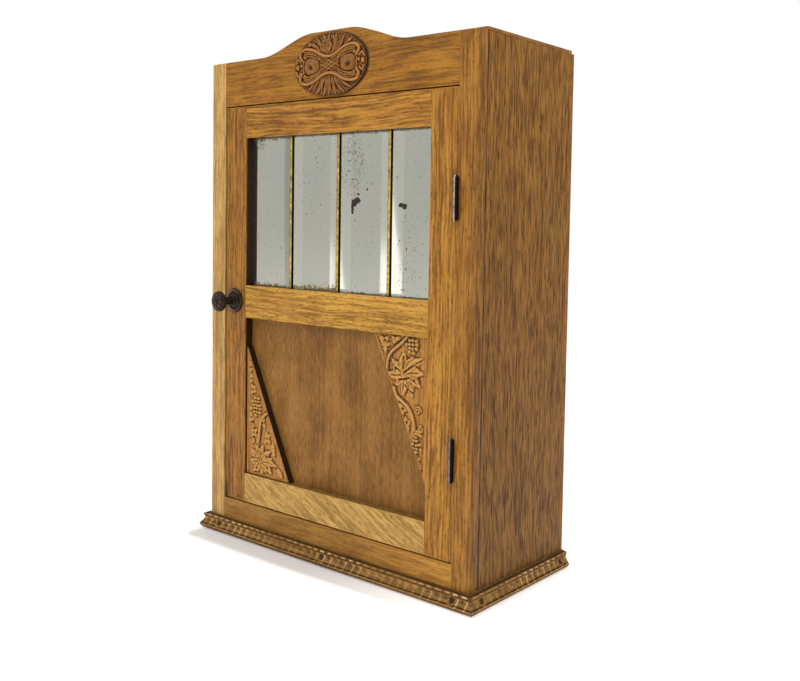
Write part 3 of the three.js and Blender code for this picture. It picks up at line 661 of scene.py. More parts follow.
def moulding_piece(side, start, end, place, rosettes, finish):
    """A carved length of moulding. start and end give its ends by outward distance, and
    place turns (outward, along, up) into a point."""
    node = "base_moulding_" + side
    pitch = 0.62
    gap = 0.3
    nose = 11.0
    high = box_mm(node)[1][2]
    section = moulding_section(nose, high, gap)
    edges = np.roll(section, -1, axis=0) - np.roll(section, 1, axis=0)
    normal = np.stack([edges[:, 1], -edges[:, 0]], 1)
    normal /= np.linalg.norm(normal, axis=1)[:, None]
    length = abs(end(0.0) - start(0.0))
    share = np.linspace(0, 1, int(length / pitch))[:, None]
    out = section[:, 0][None, :]
    up = section[:, 1][None, :]
    along = start(out) + (end(out) - start(out)) * share
    carved = moulding_pattern(along, up, rosettes)
    carved *= bounded(out / 4.0) * (up > 0.4)
    carved -= 0.25
    out_moved = np.maximum(out + carved * normal[:, 0][None, :], gap)
    up_moved = np.clip(up + carved * normal[:, 1][None, :], 0, high)
    relief = bounded(0.50 + 0.42 * carved)
    solid = closed_tube(place(out_moved, along, up_moved))
    add_piece("moulding_carving_" + side, solid, finish, "carcass", [node], relief)


def add_mouldings(finish):
    """Three lengths of moulding, with an open mitre at each front corner."""
    mitre = 0.15
    inset = 23.5  # from a front corner to the boss nearest to it
    moulding_piece(
        "front",
        lambda out: -CARCASS_X - out + mitre,
        lambda out: CARCASS_X + out - mitre,
        lambda out, along, up: np.stack([along, CARCASS_FRONT - out, up], 2),
        (-CARCASS_X + inset, 0.0, CARCASS_X - inset + 6), finish,
    )
    for name, side in (("right", 1), ("left", -1)):
        moulding_piece(
            name,
            lambda out: CARCASS_FRONT - out + mitre,
            lambda out: CARCASS_BACK + 0 * out,
            lambda out, along, up, side=side: np.stack([side * (CARCASS_X + out), along, up], 2),
            (CARCASS_FRONT + 12, CARCASS_BACK - 14), finish,
        )


# ---------- turned hardware ----------
def turned_piece(name, node, profile, ripple, finish, body):
    """A turned piece on the CAD node's own axis. profile is (radius, y) from front to back,
    and ripple moves each point by its angle."""
    facets = 144
    low, high = box_mm(node)
    axis_x, axis_z = (low[0] + high[0]) / 2, (low[2] + high[2]) / 2
    outline = smooth_path(profile, steps=5)
    angle = np.linspace(0, 2 * np.pi, facets, endpoint=False)[None, :]
    radius, depth = outline[:, 0][:, None], outline[:, 1][:, None]
    radius, depth, relief = ripple(angle, radius, depth)
    rings = np.stack(
        [axis_x + radius * np.cos(angle), depth + 0 * angle, axis_z + radius * np.sin(angle)], 2
    )
    add_piece(name, closed_tube(rings), finish, body, [node], relief)


def add_knob(finish):
    """A domed knob chased with petals, and its beaded rosette."""
    low, high = box_mm("knob")
    front, back = low[1], high[1]
    head_radius = (high[0] - low[0]) / 2
    plate_low, plate_high = box_mm("knob_rosette")
    collar = plate_low[1] - 1.0
    face = front + 2.6  # the head is a flat disc, and its boss reaches the front
    rim = face + 4.4
    profile = [
        (0.2, front + 0.8), (2.4, front + 1.0), (3.2, face), (6.5, face), (9.6, face + 1.0),
        (10.4, face + 2.0), (11.3, face + 1.8), (12.2, rim - 1.5), (head_radius - 0.5, rim),
        (12.0, rim + 1.6), (9.0, rim + 3.0), (5.2, rim + 4.8), (4.4, rim + 7.5),
        (5.4, collar - 2.6), (6.2, collar - 0.6), (4.2, collar), (3.9, collar + 2.5), (3.9, back),
        (0.4, back),
    ]

    def chased(angle, radius, depth):
        on_face = hump(radius, 6.8, 2.4) * (depth < rim - 0.5)
        petals = np.cos(8 * angle) * on_face
        ribs = np.cos(30 * angle) * hump(depth - rim, 1.2, 1.2) * (radius > 10)
        relief = 0.40 + 0.42 * petals + 0.3 * ribs + 0.2 * hump(radius, 12.0, 0.6)
        return radius + 0.22 * ribs, depth - 0.55 * petals, bounded(relief)

    turned_piece("knob_turning", "knob", profile, chased, finish, "latch")
    add_rosette(plate_low, plate_high, finish)


def add_rosette(low, high, finish):
    """A round plate with flutes on its slope and beads round its rim."""
    face, back = low[1], high[1]
    radius = (high[0] - low[0]) / 2
    bore = 4.2
    profile = [
        (bore, back), (bore, face + 0.2), (6.6, face), (7.6, face + 1.1), (9.0, face + 1.3),
        (11.2, face + 1.0), (12.2, face + 1.5), (13.2, face + 0.6), (14.4, face + 0.7),
        (radius, face + 1.7), (radius, back - 0.2), (radius - 0.6, back),
    ]

    def beaded(angle, radius, depth):
        flutes = np.cos(16 * angle) * hump(radius, 9.6, 1.5)
        beads = np.cos(40 * angle) * hump(radius, 13.8, 0.9)
        raised = depth < face + 2.2
        relief = 0.36 + 0.25 * flutes + 0.25 * beads + 0.6 * hump(radius, 12.9, 0.8)
        return radius, depth - (0.35 * flutes + 0.25 * beads) * raised, bounded(relief)

    turned_piece("rosette_turning", "knob_rosette", profile, beaded, finish, "door")


# ---------- shader helpers ----------
class Nodes:
    """A node tree in the making. Each method adds a node and returns what comes out of it."""

    def __init__(self, tree):
        self.tree = tree

    def feed(self, socket, value):
        """Links a socket to another node's output, or sets it to a plain value."""
        if isinstance(value, bpy.types.NodeSocket):
            self.tree.links.new(value, socket)
        else:
            socket.default_value = value

    def math(self, operation, *values, clamp=False):
        node = self.tree.nodes.new("ShaderNodeMath")
        node.operation = operation
        node.use_clamp = clamp
        for socket, value in zip(node.inputs, values):
            self.feed(socket, value)
        return node.outputs[0]

    def minus(self, first, second):
        return self.math("SUBTRACT", first, second)

    def offset(self, value, middle, unit):
        """How many units a value is past a middle."""
        return self.math("DIVIDE", self.minus(value, middle), unit)

    def most(self, first, *others):
        """The largest of some values."""
        for other in others:
            first = self.math("MAXIMUM", first, other)
        return first

    def product(self, first, *others):
        for other in others:
            first = self.math("MULTIPLY", first, other)
        return first

    def total(self, *terms):
        """The sum of (weight, value) pairs, with plain values as they are."""
        result = 0.0
        for term in terms:
            if isinstance(term, tuple):
                result = self.math("MULTIPLY_ADD", term[1], term[0], result)
            else:
                result = self.math("ADD", result, term)
        return result

    def length(self, *parts):
        squares = [(1.0, self.math("MULTIPLY", part, part)) for part in parts]
        return self.math("SQRT", self.total(*squares))

    def split(self, vector):
        node = self.tree.nodes.new("ShaderNodeSeparateXYZ")
        self.feed(node.inputs[0], vector)
        return node.outputs[0], node.outputs[1], node.outputs[2]

    def join(self, *parts):
        node = self.tree.nodes.new("ShaderNodeCombineXYZ")
        for socket, value in zip(node.inputs, parts):
            self.feed(socket, value)
        return node.outputs[0]

    def fade(self, value, start, end, low=0.0, high=1.0):
        """Goes smoothly from low, where value is start, to high, where it is end."""
        node = self.tree.nodes.new("ShaderNodeMapRange")
        node.interpolation_type = "SMOOTHSTEP"
        if start > end:
            start, end, low, high = end, start, high, low
        for socket, number in zip(node.inputs, (value, start, end, low, high)):
            self.feed(socket, number)
        return node.outputs[0]

    def band(self, value, low, high, blur):
        """1 where value is between low and high, with soft limits."""
        rise = self.fade(value, low - blur / 2, low + blur / 2)
        fall = self.fade(value, high + blur / 2, high - blur / 2)
        return self.product(rise, fall)

    def blend(self, share, first, second):
        """A colour between two colours."""
        node = self.tree.nodes.new("ShaderNodeMix")
        node.data_type = "RGBA"
        sockets = {socket.identifier: socket for socket in node.inputs}
        self.feed(sockets["Factor_Float"], share)
        for name, colour in (("A_Color", first), ("B_Color", second)):
            if not isinstance(colour, bpy.types.NodeSocket):
                colour = (*colour, 1.0)
            self.feed(sockets[name], colour)
        return next(s for s in node.outputs if s.identifier == "Result_Color")


class Shader(Nodes):
    """A material in the making. place is where a point is on the object, in millimetres."""

    def __init__(self, name):
        self.material = bpy.data.materials.new(name)
        self.material.use_nodes = True
        super().__init__(self.material.node_tree)
        self.surface = self.tree.nodes["Principled BSDF"]
        metres = self.tree.nodes.new("ShaderNodeTexCoord").outputs["Object"]
        scale = self.tree.nodes.new("ShaderNodeVectorMath")
        scale.operation = "SCALE"
        scale.inputs["Scale"].default_value = 1 / MM
        self.tree.links.new(metres, scale.inputs[0])
        self.place = scale.outputs[0]
        self.x, self.y, self.z = self.split(self.place)

    def set(self, socket, value):
        self.feed(self.surface.inputs[socket], value)

    def paint(self, share, colour):
        """Lays a colour over the colour so far."""
        self.colour = self.blend(share, self.colour, colour)

    def noise(self, sizes, seed, detail=2.0, roughness=0.5, space=None):
        """Soft noise from 0 to 1, whose grains have these sizes in millimetres. space, where
        it is given, takes over from place."""
        mapping = self.tree.nodes.new("ShaderNodeMapping")
        mapping.inputs["Scale"].default_value = (1 / np.broadcast_to(sizes, 3)).tolist()
        mapping.inputs["Location"].default_value = (seed * 7.31, seed * 3.17, seed * 5.93)
        self.feed(mapping.inputs["Vector"], self.place if space is None else space)
        node = self.tree.nodes.new("ShaderNodeTexNoise")
        node.inputs["Scale"].default_value = 1.0
        node.inputs["Detail"].default_value = detail
        node.inputs["Roughness"].default_value = roughness
        self.tree.links.new(mapping.outputs[0], node.inputs["Vector"])
        return node.outputs[0]

    def swing(self, *grain, **settings):
        """The same noise, but swinging to either side of 0."""
        return self.minus(self.noise(*grain, **settings), 0.5)

    def relief(self):
        """The numbers that add_piece gave the mesh."""
        node = self.tree.nodes.new("ShaderNodeAttribute")
        node.attribute_name = "relief"
        return node.outputs["Fac"]

    def bump(self, height, depth_mm):
        """Raises the surface by up to depth_mm where height is 1."""
        node = self.tree.nodes.new("ShaderNodeBump")
        node.inputs["Distance"].default_value = depth_mm * MM
        self.feed(node.inputs["Height"], height)
        self.set("Normal", node.outputs[0])


# ---------- wood ----------
GRAIN_ORDER = {"x": (0, 2, 1), "z": (2, 0, 1)}  # along, across and through the grain
RING_PITCH = 4.2
WAX_GLOSS = 0.22  # how much light the waxed wood mirrors; glass would be 0.5
# dark brown for dirt and patina, and for painted shade on the boards
OLD_DIRT_AND_SHADE = (0.022, 0.009, 0.003)


class Wood:
    """One sort of wood: its mean colour, how far its marks stray from it, and how strong and
    how large the marks are, as (length, width) in millimetres along and across the grain."""

    def __init__(self, colour, contrast=0.45, rings=0.2, streaks=0.8, blotches=0.6, fibres=1.1,
                 flecks=0.45, streak=(260, 4.5), blotch=(50, 18), fibre=(26, 2.0),
                 fleck=(7, 1.5), slant=0.0, blush=0.3, roughness=0.56):
        colour = np.array(colour)
        self.light = colour * (1 + contrast * np.array([0.95, 1.08, 1.35]))
        self.dark = colour * (1 - contrast * np.array([0.95, 1.08, 1.30]))
        self.rings = rings
        self.streaks = streaks
        self.blotches = blotches
        self.fibres = fibres
        self.flecks = flecks
        self.streak = streak
        self.blotch = blotch
        self.fibre = fibre
        self.fleck = fleck
        self.slant = slant
        self.blush = blush
        self.roughness = roughness


def edge_distance(shader, low, high):
    """Millimetres from a point on a board's face to the nearest edge of the board."""
    gaps = []
    for value, near, far in zip((shader.x, shader.y, shader.z), low, high):
        gaps.append(shader.math("MINIMUM", shader.minus(value, near), shader.minus(far, value)))
    smaller = shader.math("MINIMUM", gaps[0], gaps[1])
    larger = shader.most(gaps[0], gaps[1])
    return shader.most(smaller, shader.math("MINIMUM", larger, gaps[2]))


def growth_rings(shader, space, seed):
    """Saw-tooth bands of early wood round a heart that lies outside the board."""
    draw = np.random.default_rng(seed)
    along, across, through = shader.split(space)
    heart = draw.uniform(-60, 60)
    depth = draw.uniform(18, 70)
    slope = draw.choice([-1, 1]) * draw.uniform(0.02, 0.06)
    sideways = shader.math("ADD", across, heart)
    down = shader.total((slope, along), through, depth)
    uneven = shader.noise((90, 14, 14), seed + 1, space=space)
    phase = shader.total((1 / RING_PITCH, shader.length(sideways, down)), (2.2, uneven))
    phase = shader.math("FRACT", phase)
    return shader.product(shader.fade(phase, 0.0, 0.2), shader.fade(phase, 0.9, 0.2))


def grain_marks(shader, wood, grain, seed):
    """The wood's own tone from 0, dark, to 1, light, and how open its pores are."""
    parts = (shader.x, shader.y, shader.z)
    along, across, through = (parts[i] for i in GRAIN_ORDER[grain])
    if wood.slant:
        turn = math.radians(wood.slant)
        along, across = (
            shader.total((math.cos(turn), along), (math.sin(turn), across)),
            shader.total((math.cos(turn), across), (-math.sin(turn), along)),
        )
    straight = shader.join(along, across, through)
    sway = shader.noise((150, 40, 40), seed, detail=1, space=straight)
    space = shader.join(along, shader.math("MULTIPLY_ADD", sway, 14.0, across), through)

    def mark(size, shift, detail=2):
        return shader.swing((size[0], size[1], size[1]), seed + shift, detail, space=space)

    flecks = shader.fade(mark(wood.fleck, 2, detail=1), 0.06, 0.20)
    tone = shader.total(
        0.5 + 0.35 * wood.rings + 0.15 * wood.flecks,
        (-wood.rings, growth_rings(shader, space, seed)),
        (2 * wood.streaks, mark(wood.streak, 3)),
        (2 * wood.blotches, mark(wood.blotch, 4, detail=3)),
        (2 * wood.fibres, mark(wood.fibre, 5)),
        (-wood.flecks, flecks),
    )
    return shader.math("ADD", tone, 0.0, clamp=True), flecks


def bare_wood(name, wood, grain, seed):
    """A waxed material in the wood's own colours, with its grain_marks."""
    shader = Shader(name)
    shader.set("Specular IOR Level", WAX_GLOSS)
    tone, flecks = grain_marks(shader, wood, grain, seed)
    shader.colour = shader.blend(tone, wood.dark, wood.light)
    return shader, tone, flecks


def wood_finish(name, wood, low, high, grain, seed, dirt_and_shade=None):
    """A waxed board of this wood, whose box is low to high. An optional mask adds dark places:
    old polish or dirt that has built up, and painted shade on faces that lie in shadow."""
    shader, tone, flecks = bare_wood(name, wood, grain, seed)
    blush = shader.fade(shader.noise(45, seed + 6), 0.50, 0.72, 0, wood.blush)
    shader.paint(blush, wood.dark * (1.5, 1.15, 1.0))
    edge = edge_distance(shader, low, high)
    ragged = shader.total((1.0, edge), (-3.0, shader.noise(14, seed + 7)))
    shader.paint(shader.fade(ragged, 0.6, -1.6, 0, 0.5), wood.dark * 0.4)
    rubbed = shader.fade(shader.noise(25, seed + 8, detail=1), 0.35, 0.6, 0.15, 0.7)
    shader.paint(shader.product(shader.fade(edge, 1.5, 0.3), rubbed), wood.light * 1.25)
    # the mask paints dirt, and painted shade, in the same dark brown
    if dirt_and_shade:
        shader.paint(dirt_and_shade(shader), OLD_DIRT_AND_SHADE)
    shader.set("Base Color", shader.colour)
    shader.set("Roughness", shader.total((0.16, flecks), (-0.10, tone), wood.roughness))
    shader.bump(shader.total((-0.8, flecks), (0.45, tone)), 0.16)
    return shader.material


def door_opening_shade(shader):
    """Painted shade: 1 on the faces of the door's stiles and rails that look into its openings,
    which are painted dark as if they lay in shadow.
    """
    reach = 0.4
    sides = shader.math("LESS_THAN", shader.math("ABSOLUTE", shader.x), LIGHT_X + reach)
    above = shader.math("GREATER_THAN", shader.z, PANEL_Z[0] - reach)
    below = shader.math("LESS_THAN", shader.z, MIRROR_Z[1] + reach)
    behind_front = shader.fade(shader.y, DOOR_FRONT + 0.6, DOOR_FRONT + 2.6)
    before_glass = shader.math("LESS_THAN", shader.y, GLAZING_Y + 0.8)
    return shader.product(sides, above, below, behind_front, before_glass)


def bottom_rail_edge_shade(shader):
    """Painted shade on the inner edge of a rail, weaker than on the other rails."""
    return shader.product(door_opening_shade(shader), 0.6)


def knob_stile_shade_and_scuffs(shader):
    """Painted shade on the knob stile's inner edge and in the curve worn off its outer bottom
    corner, where the widened gap would lie in shadow, and scuffs low down.
    """
    tall, wide = 26.0, 3.6
    up = shader.offset(shader.z, STILE_LOW[2], tall)
    bite = shader.product(shader.fade(up, 1.0, 0.0), wide)
    inset = shader.minus(shader.x, -STILE_HIGH[0])
    # painted shade: the worn-off curve is painted dark like the shaded gap it opens
    worn = shader.fade(shader.minus(inset, bite), 0.5, -0.3)
    scuffs = shader.fade(shader.noise((2.2, 2.2, 7.0), 91), 0.56, 0.66)
    scuffs = shader.product(scuffs, shader.fade(up, 0.55, 0.15), 0.7)
    return shader.most(door_opening_shade(shader), worn, scuffs)


def hinge_stile_stain_and_shade(shader):
    """Painted shade on the hinge stile's inner edge, and the stained dark wood round its
    two hinges.
    """
    dark = door_opening_shade(shader)
    for hinge in ("hinge_pin_upper", "hinge_pin_lower"):
        low, high = box_mm(hinge)
        rise = shader.fade(shader.z, low[2] - 16, low[2] + 6)
        fall = shader.fade(shader.z, high[2] + 16, high[2] - 6)
        beside = shader.fade(shader.x, low[0] - 15, low[0] - 2, 0, 0.45)
        dark = shader.most(dark, shader.product(rise, fall, beside))
    return dark


def handled_left(shader):
    """The sill is darker towards the side the door opens from."""
    return shader.fade(shader.x, 20.0, 190.0, 0.31, 0.0)


def face_stile_side_shade(shader):
    """Painted shade on the outer side of a face stile, darker than its front and darkest low down.
    """
    side = shader.fade(shader.x, CARCASS_X - 0.9, CARCASS_X - 0.4)
    return shader.product(side, shader.fade(shader.z, 560.0, 100.0, 0.12, 0.34))


def side_seam_and_low_shade(shader):
    """The dark gap, open in places, where a side panel meets the face frame, and painted shade
    that makes the panel a little darker low down."""
    ragged = shader.noise((1, 1, 60), 97, space=shader.join(0.0, 0.0, shader.z))
    gap = shader.fade(shader.y, SIDE_FRONT + 2.8, SIDE_FRONT + 1.4)
    gap = shader.product(gap, shader.fade(ragged, 0.35, 0.5, 0.6, 1.0))
    # painted shade: darker towards the bottom
    return shader.most(gap, shader.fade(shader.z, 460.0, 80.0, 0.0, 0.13))


def medallion_painted_shadow(shader):
    """Painted shadow on the crest rail close round the medallion, most of it on the right, the
    side away from the light.
    """
    low, high = box_mm("crest_medallion")
    middle, half = (low + high) / 2, (high - low) / 2
    across = shader.offset(shader.x, middle[0], half[0])
    up = shader.offset(shader.z, middle[2], half[2])
    beside = shader.fade(shader.length(across, up), 1.075, 1.03)
    return shader.product(beside, shader.fade(across, 0.0, 0.7, 0.1, 0.8))


PALE_OAK = Wood((0.45, 0.262, 0.075), contrast=0.34)
GOLDEN_OAK = Wood((0.265, 0.107, 0.008), streaks=0.6, rings=0.1, fibre=(30, 2.0), blotches=0.8)
STILE_OAK = Wood((0.268, 0.112, 0.013), contrast=0.50, rings=0.3)
AMBER_OAK = Wood((0.325, 0.140, 0.016), contrast=0.50, rings=0.4, streaks=1.0)
RAIL_OAK = Wood((0.41, 0.206, 0.029), contrast=0.44, flecks=0.7)
CROSS_OAK = Wood((0.44, 0.250, 0.062), contrast=0.36, flecks=0.8, fleck=(9, 1.6), slant=-27)
SILL_OAK = Wood((0.40, 0.184, 0.025), contrast=0.34, rings=0.08, streaks=0.5)
BROWN_OAK = Wood((0.23, 0.10, 0.020))
SIDE_VENEER = Wood(
    (0.186, 0.077, 0.008), contrast=0.60, flecks=0.7, fleck=(16, 1.3), fibre=(26, 1.7),
    fibres=1.5, streaks=0.5, blotches=0.3, rings=0.0, blush=0.15, roughness=0.62,
)
PLYWOOD = Wood(
    (0.236, 0.103, 0.0175), contrast=0.42, flecks=0.3, fleck=(9, 1.3), fibre=(11, 1.2),
    fibres=0.9, streaks=0.45, blotches=0.8, blotch=(60, 34), rings=0.0, blush=0.05, roughness=0.62,
)
INNER_WOOD = Wood((0.33, 0.185, 0.07), roughness=0.65)


def board(node, wood, grain, seed, rounding=0.7, half_x=None, dirt_and_shade=None):
    """Finishes a board. half_x is where a rail disappears into the uprights at its ends."""
    low, high = box_mm(node)
    if half_x:
        low[0], high[0] = -half_x, half_x
    dress(node, wood_finish(node + "_wood", wood, low, high, grain, seed, dirt_and_shade), rounding)


def finish_face_frame():
    board("face_stile_left", PALE_OAK, "z", 11, rounding=1.1)
    board("face_stile_right", STILE_OAK, "z", 12, rounding=1.1, dirt_and_shade=face_stile_side_shade)
    board("crest_rail", GOLDEN_OAK, "x", 13, half_x=OPENING_X, dirt_and_shade=medallion_painted_shadow)
    board("face_rail_bottom", SILL_OAK, "x", 14, half_x=OPENING_X, dirt_and_shade=handled_left)


def finish_door_frame():
    board("door_stile_knob", STILE_OAK, "z", 21, rounding=0.9, dirt_and_shade=knob_stile_shade_and_scuffs)
    board("door_stile_hinge", AMBER_OAK, "z", 22, rounding=0.9, dirt_and_shade=hinge_stile_stain_and_shade)
    # the top and middle rails get painted shade on their inner faces
    board("door_rail_top", AMBER_OAK, "x", 23, half_x=LIGHT_X, dirt_and_shade=door_opening_shade)
    board("door_rail_middle", RAIL_OAK, "x", 24, half_x=LIGHT_X, dirt_and_shade=door_opening_shade)
    board("door_rail_bottom", CROSS_OAK, "x", 25, half_x=LIGHT_X, dirt_and_shade=bottom_rail_edge_shade)


def finish_carcass():
    board("side_panel_left", SIDE_VENEER, "z", 31, dirt_and_shade=side_seam_and_low_shade)
    board("side_panel_right", SIDE_VENEER, "z", 32, dirt_and_shade=side_seam_and_low_shade)
    board("top_panel", BROWN_OAK, "x", 33)
    board("bottom_panel", INNER_WOOD, "x", 34)
    board("back_panel", PLYWOOD, "z", 35, rounding=0.4)
    board("shelf_lower", INNER_WOOD, "x", 36)
    board("shelf_upper", INNER_WOOD, "x", 37)
    board("latch_keeper", INNER_WOOD, "z", 38)
    board("lower_panel", PLYWOOD, "z", 39, rounding=0.3)
    board("mirror_backing_board", PLYWOOD, "x", 40, rounding=0.3)
    beads = ("mirror_bead_bottom", "mirror_bead_top", "panel_bead_bottom", "panel_bead_top")
    for i, name in enumerate(beads):
        board(name, AMBER_OAK, "x", 41 + i, rounding=0.2)


def carved_finish(name, wood, grain, seed, recess, ridge):
    """Carved wood, with old dark patina in its hollows, and its ridges rubbed pale and lightened
    further as painted highlights.
    """
    shader, _, flecks = bare_wood(name, wood, grain, seed)
    relief = shader.relief()
    smudge = shader.noise(5, seed + 8, detail=3)
    level = shader.total((1.0, relief), (0.22, shader.minus(smudge, 0.5)))
    shader.paint(shader.fade(level, 0.50, 0.16, 0, 0.94), recess)
    shader.paint(shader.fade(level, 0.15, -0.15), OLD_DIRT_AND_SHADE)
    # painted highlight, partly: the ridges are rubbed pale and lightened to stand in for highlights
    shader.paint(shader.fade(level, 0.56, 0.92, 0, 0.80), ridge)
    shader.set("Base Color", shader.colour)
    shader.set("Roughness", shader.total((-0.18, relief), (0.12, flecks), wood.roughness + 0.06))
    shader.bump(shader.total((-0.6, flecks), (0.4, smudge)), 0.14)
    return shader.material


VINE_WOOD = Wood((0.42, 0.184, 0.034), contrast=0.25, rings=0.05, flecks=0.2)
MEDALLION_WOOD = Wood((0.207, 0.075, 0.0095), contrast=0.25, rings=0.05, flecks=0.15)
MOULDING_WOOD = Wood((0.33, 0.165, 0.034), contrast=0.40, rings=0.05, flecks=0.3)


def add_carvings():
    """The carved pieces, each with the colour of its hollows and of its rubbed ridges, whose
    pale colour is also painted highlight.
    """
    # each ridge colour is rubbed wood and painted highlight; the moulding's pale one is mostly
    # painted highlight
    recess, ridge = (0.08, 0.028, 0.006), (0.60, 0.35, 0.11)
    vine = carved_finish("vine_wood", VINE_WOOD, "z", 51, recess, ridge)
    corner_piece("lower_left", 1, carve_low_vine, 2.0, vine)
    corner_piece("upper_right", -1, carve_vine, 6.0, vine)
    recess, ridge = (0.028, 0.008, 0.002), (0.445, 0.196, 0.040)
    medallion_piece(carved_finish("medallion_wood", MEDALLION_WOOD, "x", 52, recess, ridge))
    recess, ridge = (0.045, 0.021, 0.005), (0.86, 0.64, 0.36)
    add_mouldings(carved_finish("moulding_wood", MOULDING_WOOD, "x", 53, recess, ridge))


# ---------- glass and metal ----------
def pane_piece(index):
    """The seen part of a silvered pane, with wide ground bevels at its sides. Its relief is
    how far the silver seems to rise towards the edges, seen through the bevels."""
    node = "mirror_pane_" + str(index)
    low, high = box_mm(node)
    left_wide, right_wide = 19.0, 12.0
    left, right = low[0] + left_wide, high[0] - right_wide
    low[0], high[0] = max(low[0], -LIGHT_X), min(high[0], LIGHT_X)
    pitch, corner, forward, drop = 1.0, 4.0, 0.9, 1.2
    across = np.linspace(low[0], high[0], int((high[0] - low[0]) / pitch))
    up = np.linspace(MIRROR_Z[0], MIRROR_Z[1], int((MIRROR_Z[1] - MIRROR_Z[0]) / pitch))
    x, z = np.meshgrid(across, up)
    narrowing = corner * (1 - bounded((z - MIRROR_Z[0]) / corner)) ** 2  # at the foot only
    on_left = bounded((left + narrowing - x) / left_wide)
    on_right = bounded((x - right + narrowing) / right_wide)
    front = np.stack([x, low[1] - forward + drop * (on_left + on_right), z], 2)
    seeming_rise = left_wide * (0.160 * on_left + 0.027 * on_left**2)
    seeming_rise += right_wide * (0.206 * on_right + 0.009 * on_right**2)
    solid = closed_sheet(front, high[1])
    add_piece(
        "mirror_silver_" + str(index), solid, mirror_finish(index), "door",
        [node], seeming_rise,
    )


def blot(shader, middle, radii, seed):
    """1 inside a ragged oval in the plane of the glass."""
    across = shader.offset(shader.x, middle[0], radii[0])
    up = shader.offset(shader.z, middle[1], radii[1])
    ragged = shader.swing(3.0, seed, detail=4)
    reach = shader.total((1.0, shader.length(across, up)), (1.5, ragged))
    return shader.fade(reach, 1.06, 0.94)


def specks(shader, size, amount, seed):
    """Small dots where the silver has gone; amount is 0 to 1, and may vary over the glass."""
    limit = shader.math("MULTIPLY_ADD", amount, -0.15, 0.785)
    over = shader.minus(shader.noise(size, seed, detail=1), limit)
    return shader.fade(over, 0.0, 0.03)


# for each pane, by its number and in millimetres: the (middle, radii) of its crowd of specks
# and how strong that is, how far brown decay creeps in at its foot and top, and its blots
CROWDED = {1: ((-138, 484), (15, 9)), 2: ((-42, 440), (24, 40)),
           3: ((24, 455), (17, 34)), 4: ((108, 350), (16, 60))}
CROWDING = {1: 0.8, 2: 0.3, 3: 0.65, 4: 0.25}
FOOT_DECAY = {1: 6.0, 2: 10.0, 3: 3.0, 4: 2.0}
TOP_DECAY = {1: 6.0, 2: 2.5, 3: 3.5, 4: 2.5}
BLOTS = {3: [((31.4, 416.8), (5.8, 3.1)), ((27.4, 414.2), (4.9, 4.4)), ((24.8, 409.6), (2.2, 8.0)),
             ((33.5, 424), (1.8, 1.4)), ((47, 429), (1.6, 1.2))],
         4: [((96.5, 412), (3.8, 2.6)), ((102, 410.5), (3.2, 3.0))]}


def mirror_decay_and_edge_reflection(shader, index, low, high, seed):
    """Brown decay that creeps in, lace-like, from the ends and the sides of a pane. The sides'
    near-black is partly a painted reflection of the dark brass strips and stiles beside them.
    """
    lacy = shader.swing(3.6, seed, detail=4, roughness=0.7)

    def creep(distance, depth, raggedness):
        near = shader.total((1.0, shader.math("DIVIDE", distance, depth)), (raggedness, lacy))
        return shader.fade(near, 0.8, 0.1)

    foot = creep(shader.minus(shader.z, MIRROR_Z[0]), FOOT_DECAY[index], 3.2)
    top = creep(shader.minus(MIRROR_Z[1], shader.z), TOP_DECAY[index], 3.0)
    left = creep(shader.minus(shader.x, low[0]), 3.2, 1.0)
    right = creep(shader.minus(high[0], shader.x), 1.8, 1.6)
    return shader.most(foot, top), shader.most(left, right)


def mirror_finish(index):
    """Old silvered glass: dull grey silver, black specks and blots, and decayed edges, whose
    near-black sides are partly a painted reflection.
    """
    low, high = box_mm("mirror_pane_" + str(index))
    seed = 60 + 10 * index
    shader = Shader("mirror_silver_" + str(index))
    shader.set("Metallic", 1.0)
    haze = shader.noise((40, 40, 70), seed, detail=3)
    silver = ((0.62, 0.645, 0.575), (0.665, 0.655, 0.585))
    shader.colour = shader.blend(shader.fade(haze, 0.3, 0.7), *silver)
    amount = shader.total((CROWDING[index], blot(shader, *CROWDED[index], seed + 1)), 0.34)
    fine = specks(shader, 1.7, shader.total((1.2, amount), 0.15), seed + 2)
    coarse = specks(shader, 2.8, shader.product(amount, 0.85), seed + 3)
    black = shader.most(shader.product(fine, 0.6), coarse)
    for middle, radii in BLOTS.get(index, []):
        black = shader.most(black, blot(shader, middle, radii, seed + 5))
    ends, sides = mirror_decay_and_edge_reflection(shader, index, low, high, seed + 4)
    shader.paint(ends, (0.27, 0.215, 0.085))
    # partly painted reflection: the near-black sides stand in for the dark strips and stiles seen in
    # the glass
    shader.paint(sides, (0.05, 0.035, 0.015))
    shader.paint(black, (0.045, 0.045, 0.035))
    shader.set("Base Color", shader.colour)
    lost = shader.most(ends, sides)
    shader.set("Roughness", shader.total((0.45, black), (0.35, lost), (0.06, haze), 0.05))
    waves = shader.noise(26, seed + 6, detail=1)
    shader.bump(shader.total((0.012, waves), (1.0, shader.relief())), 1.0)
    return shader.material


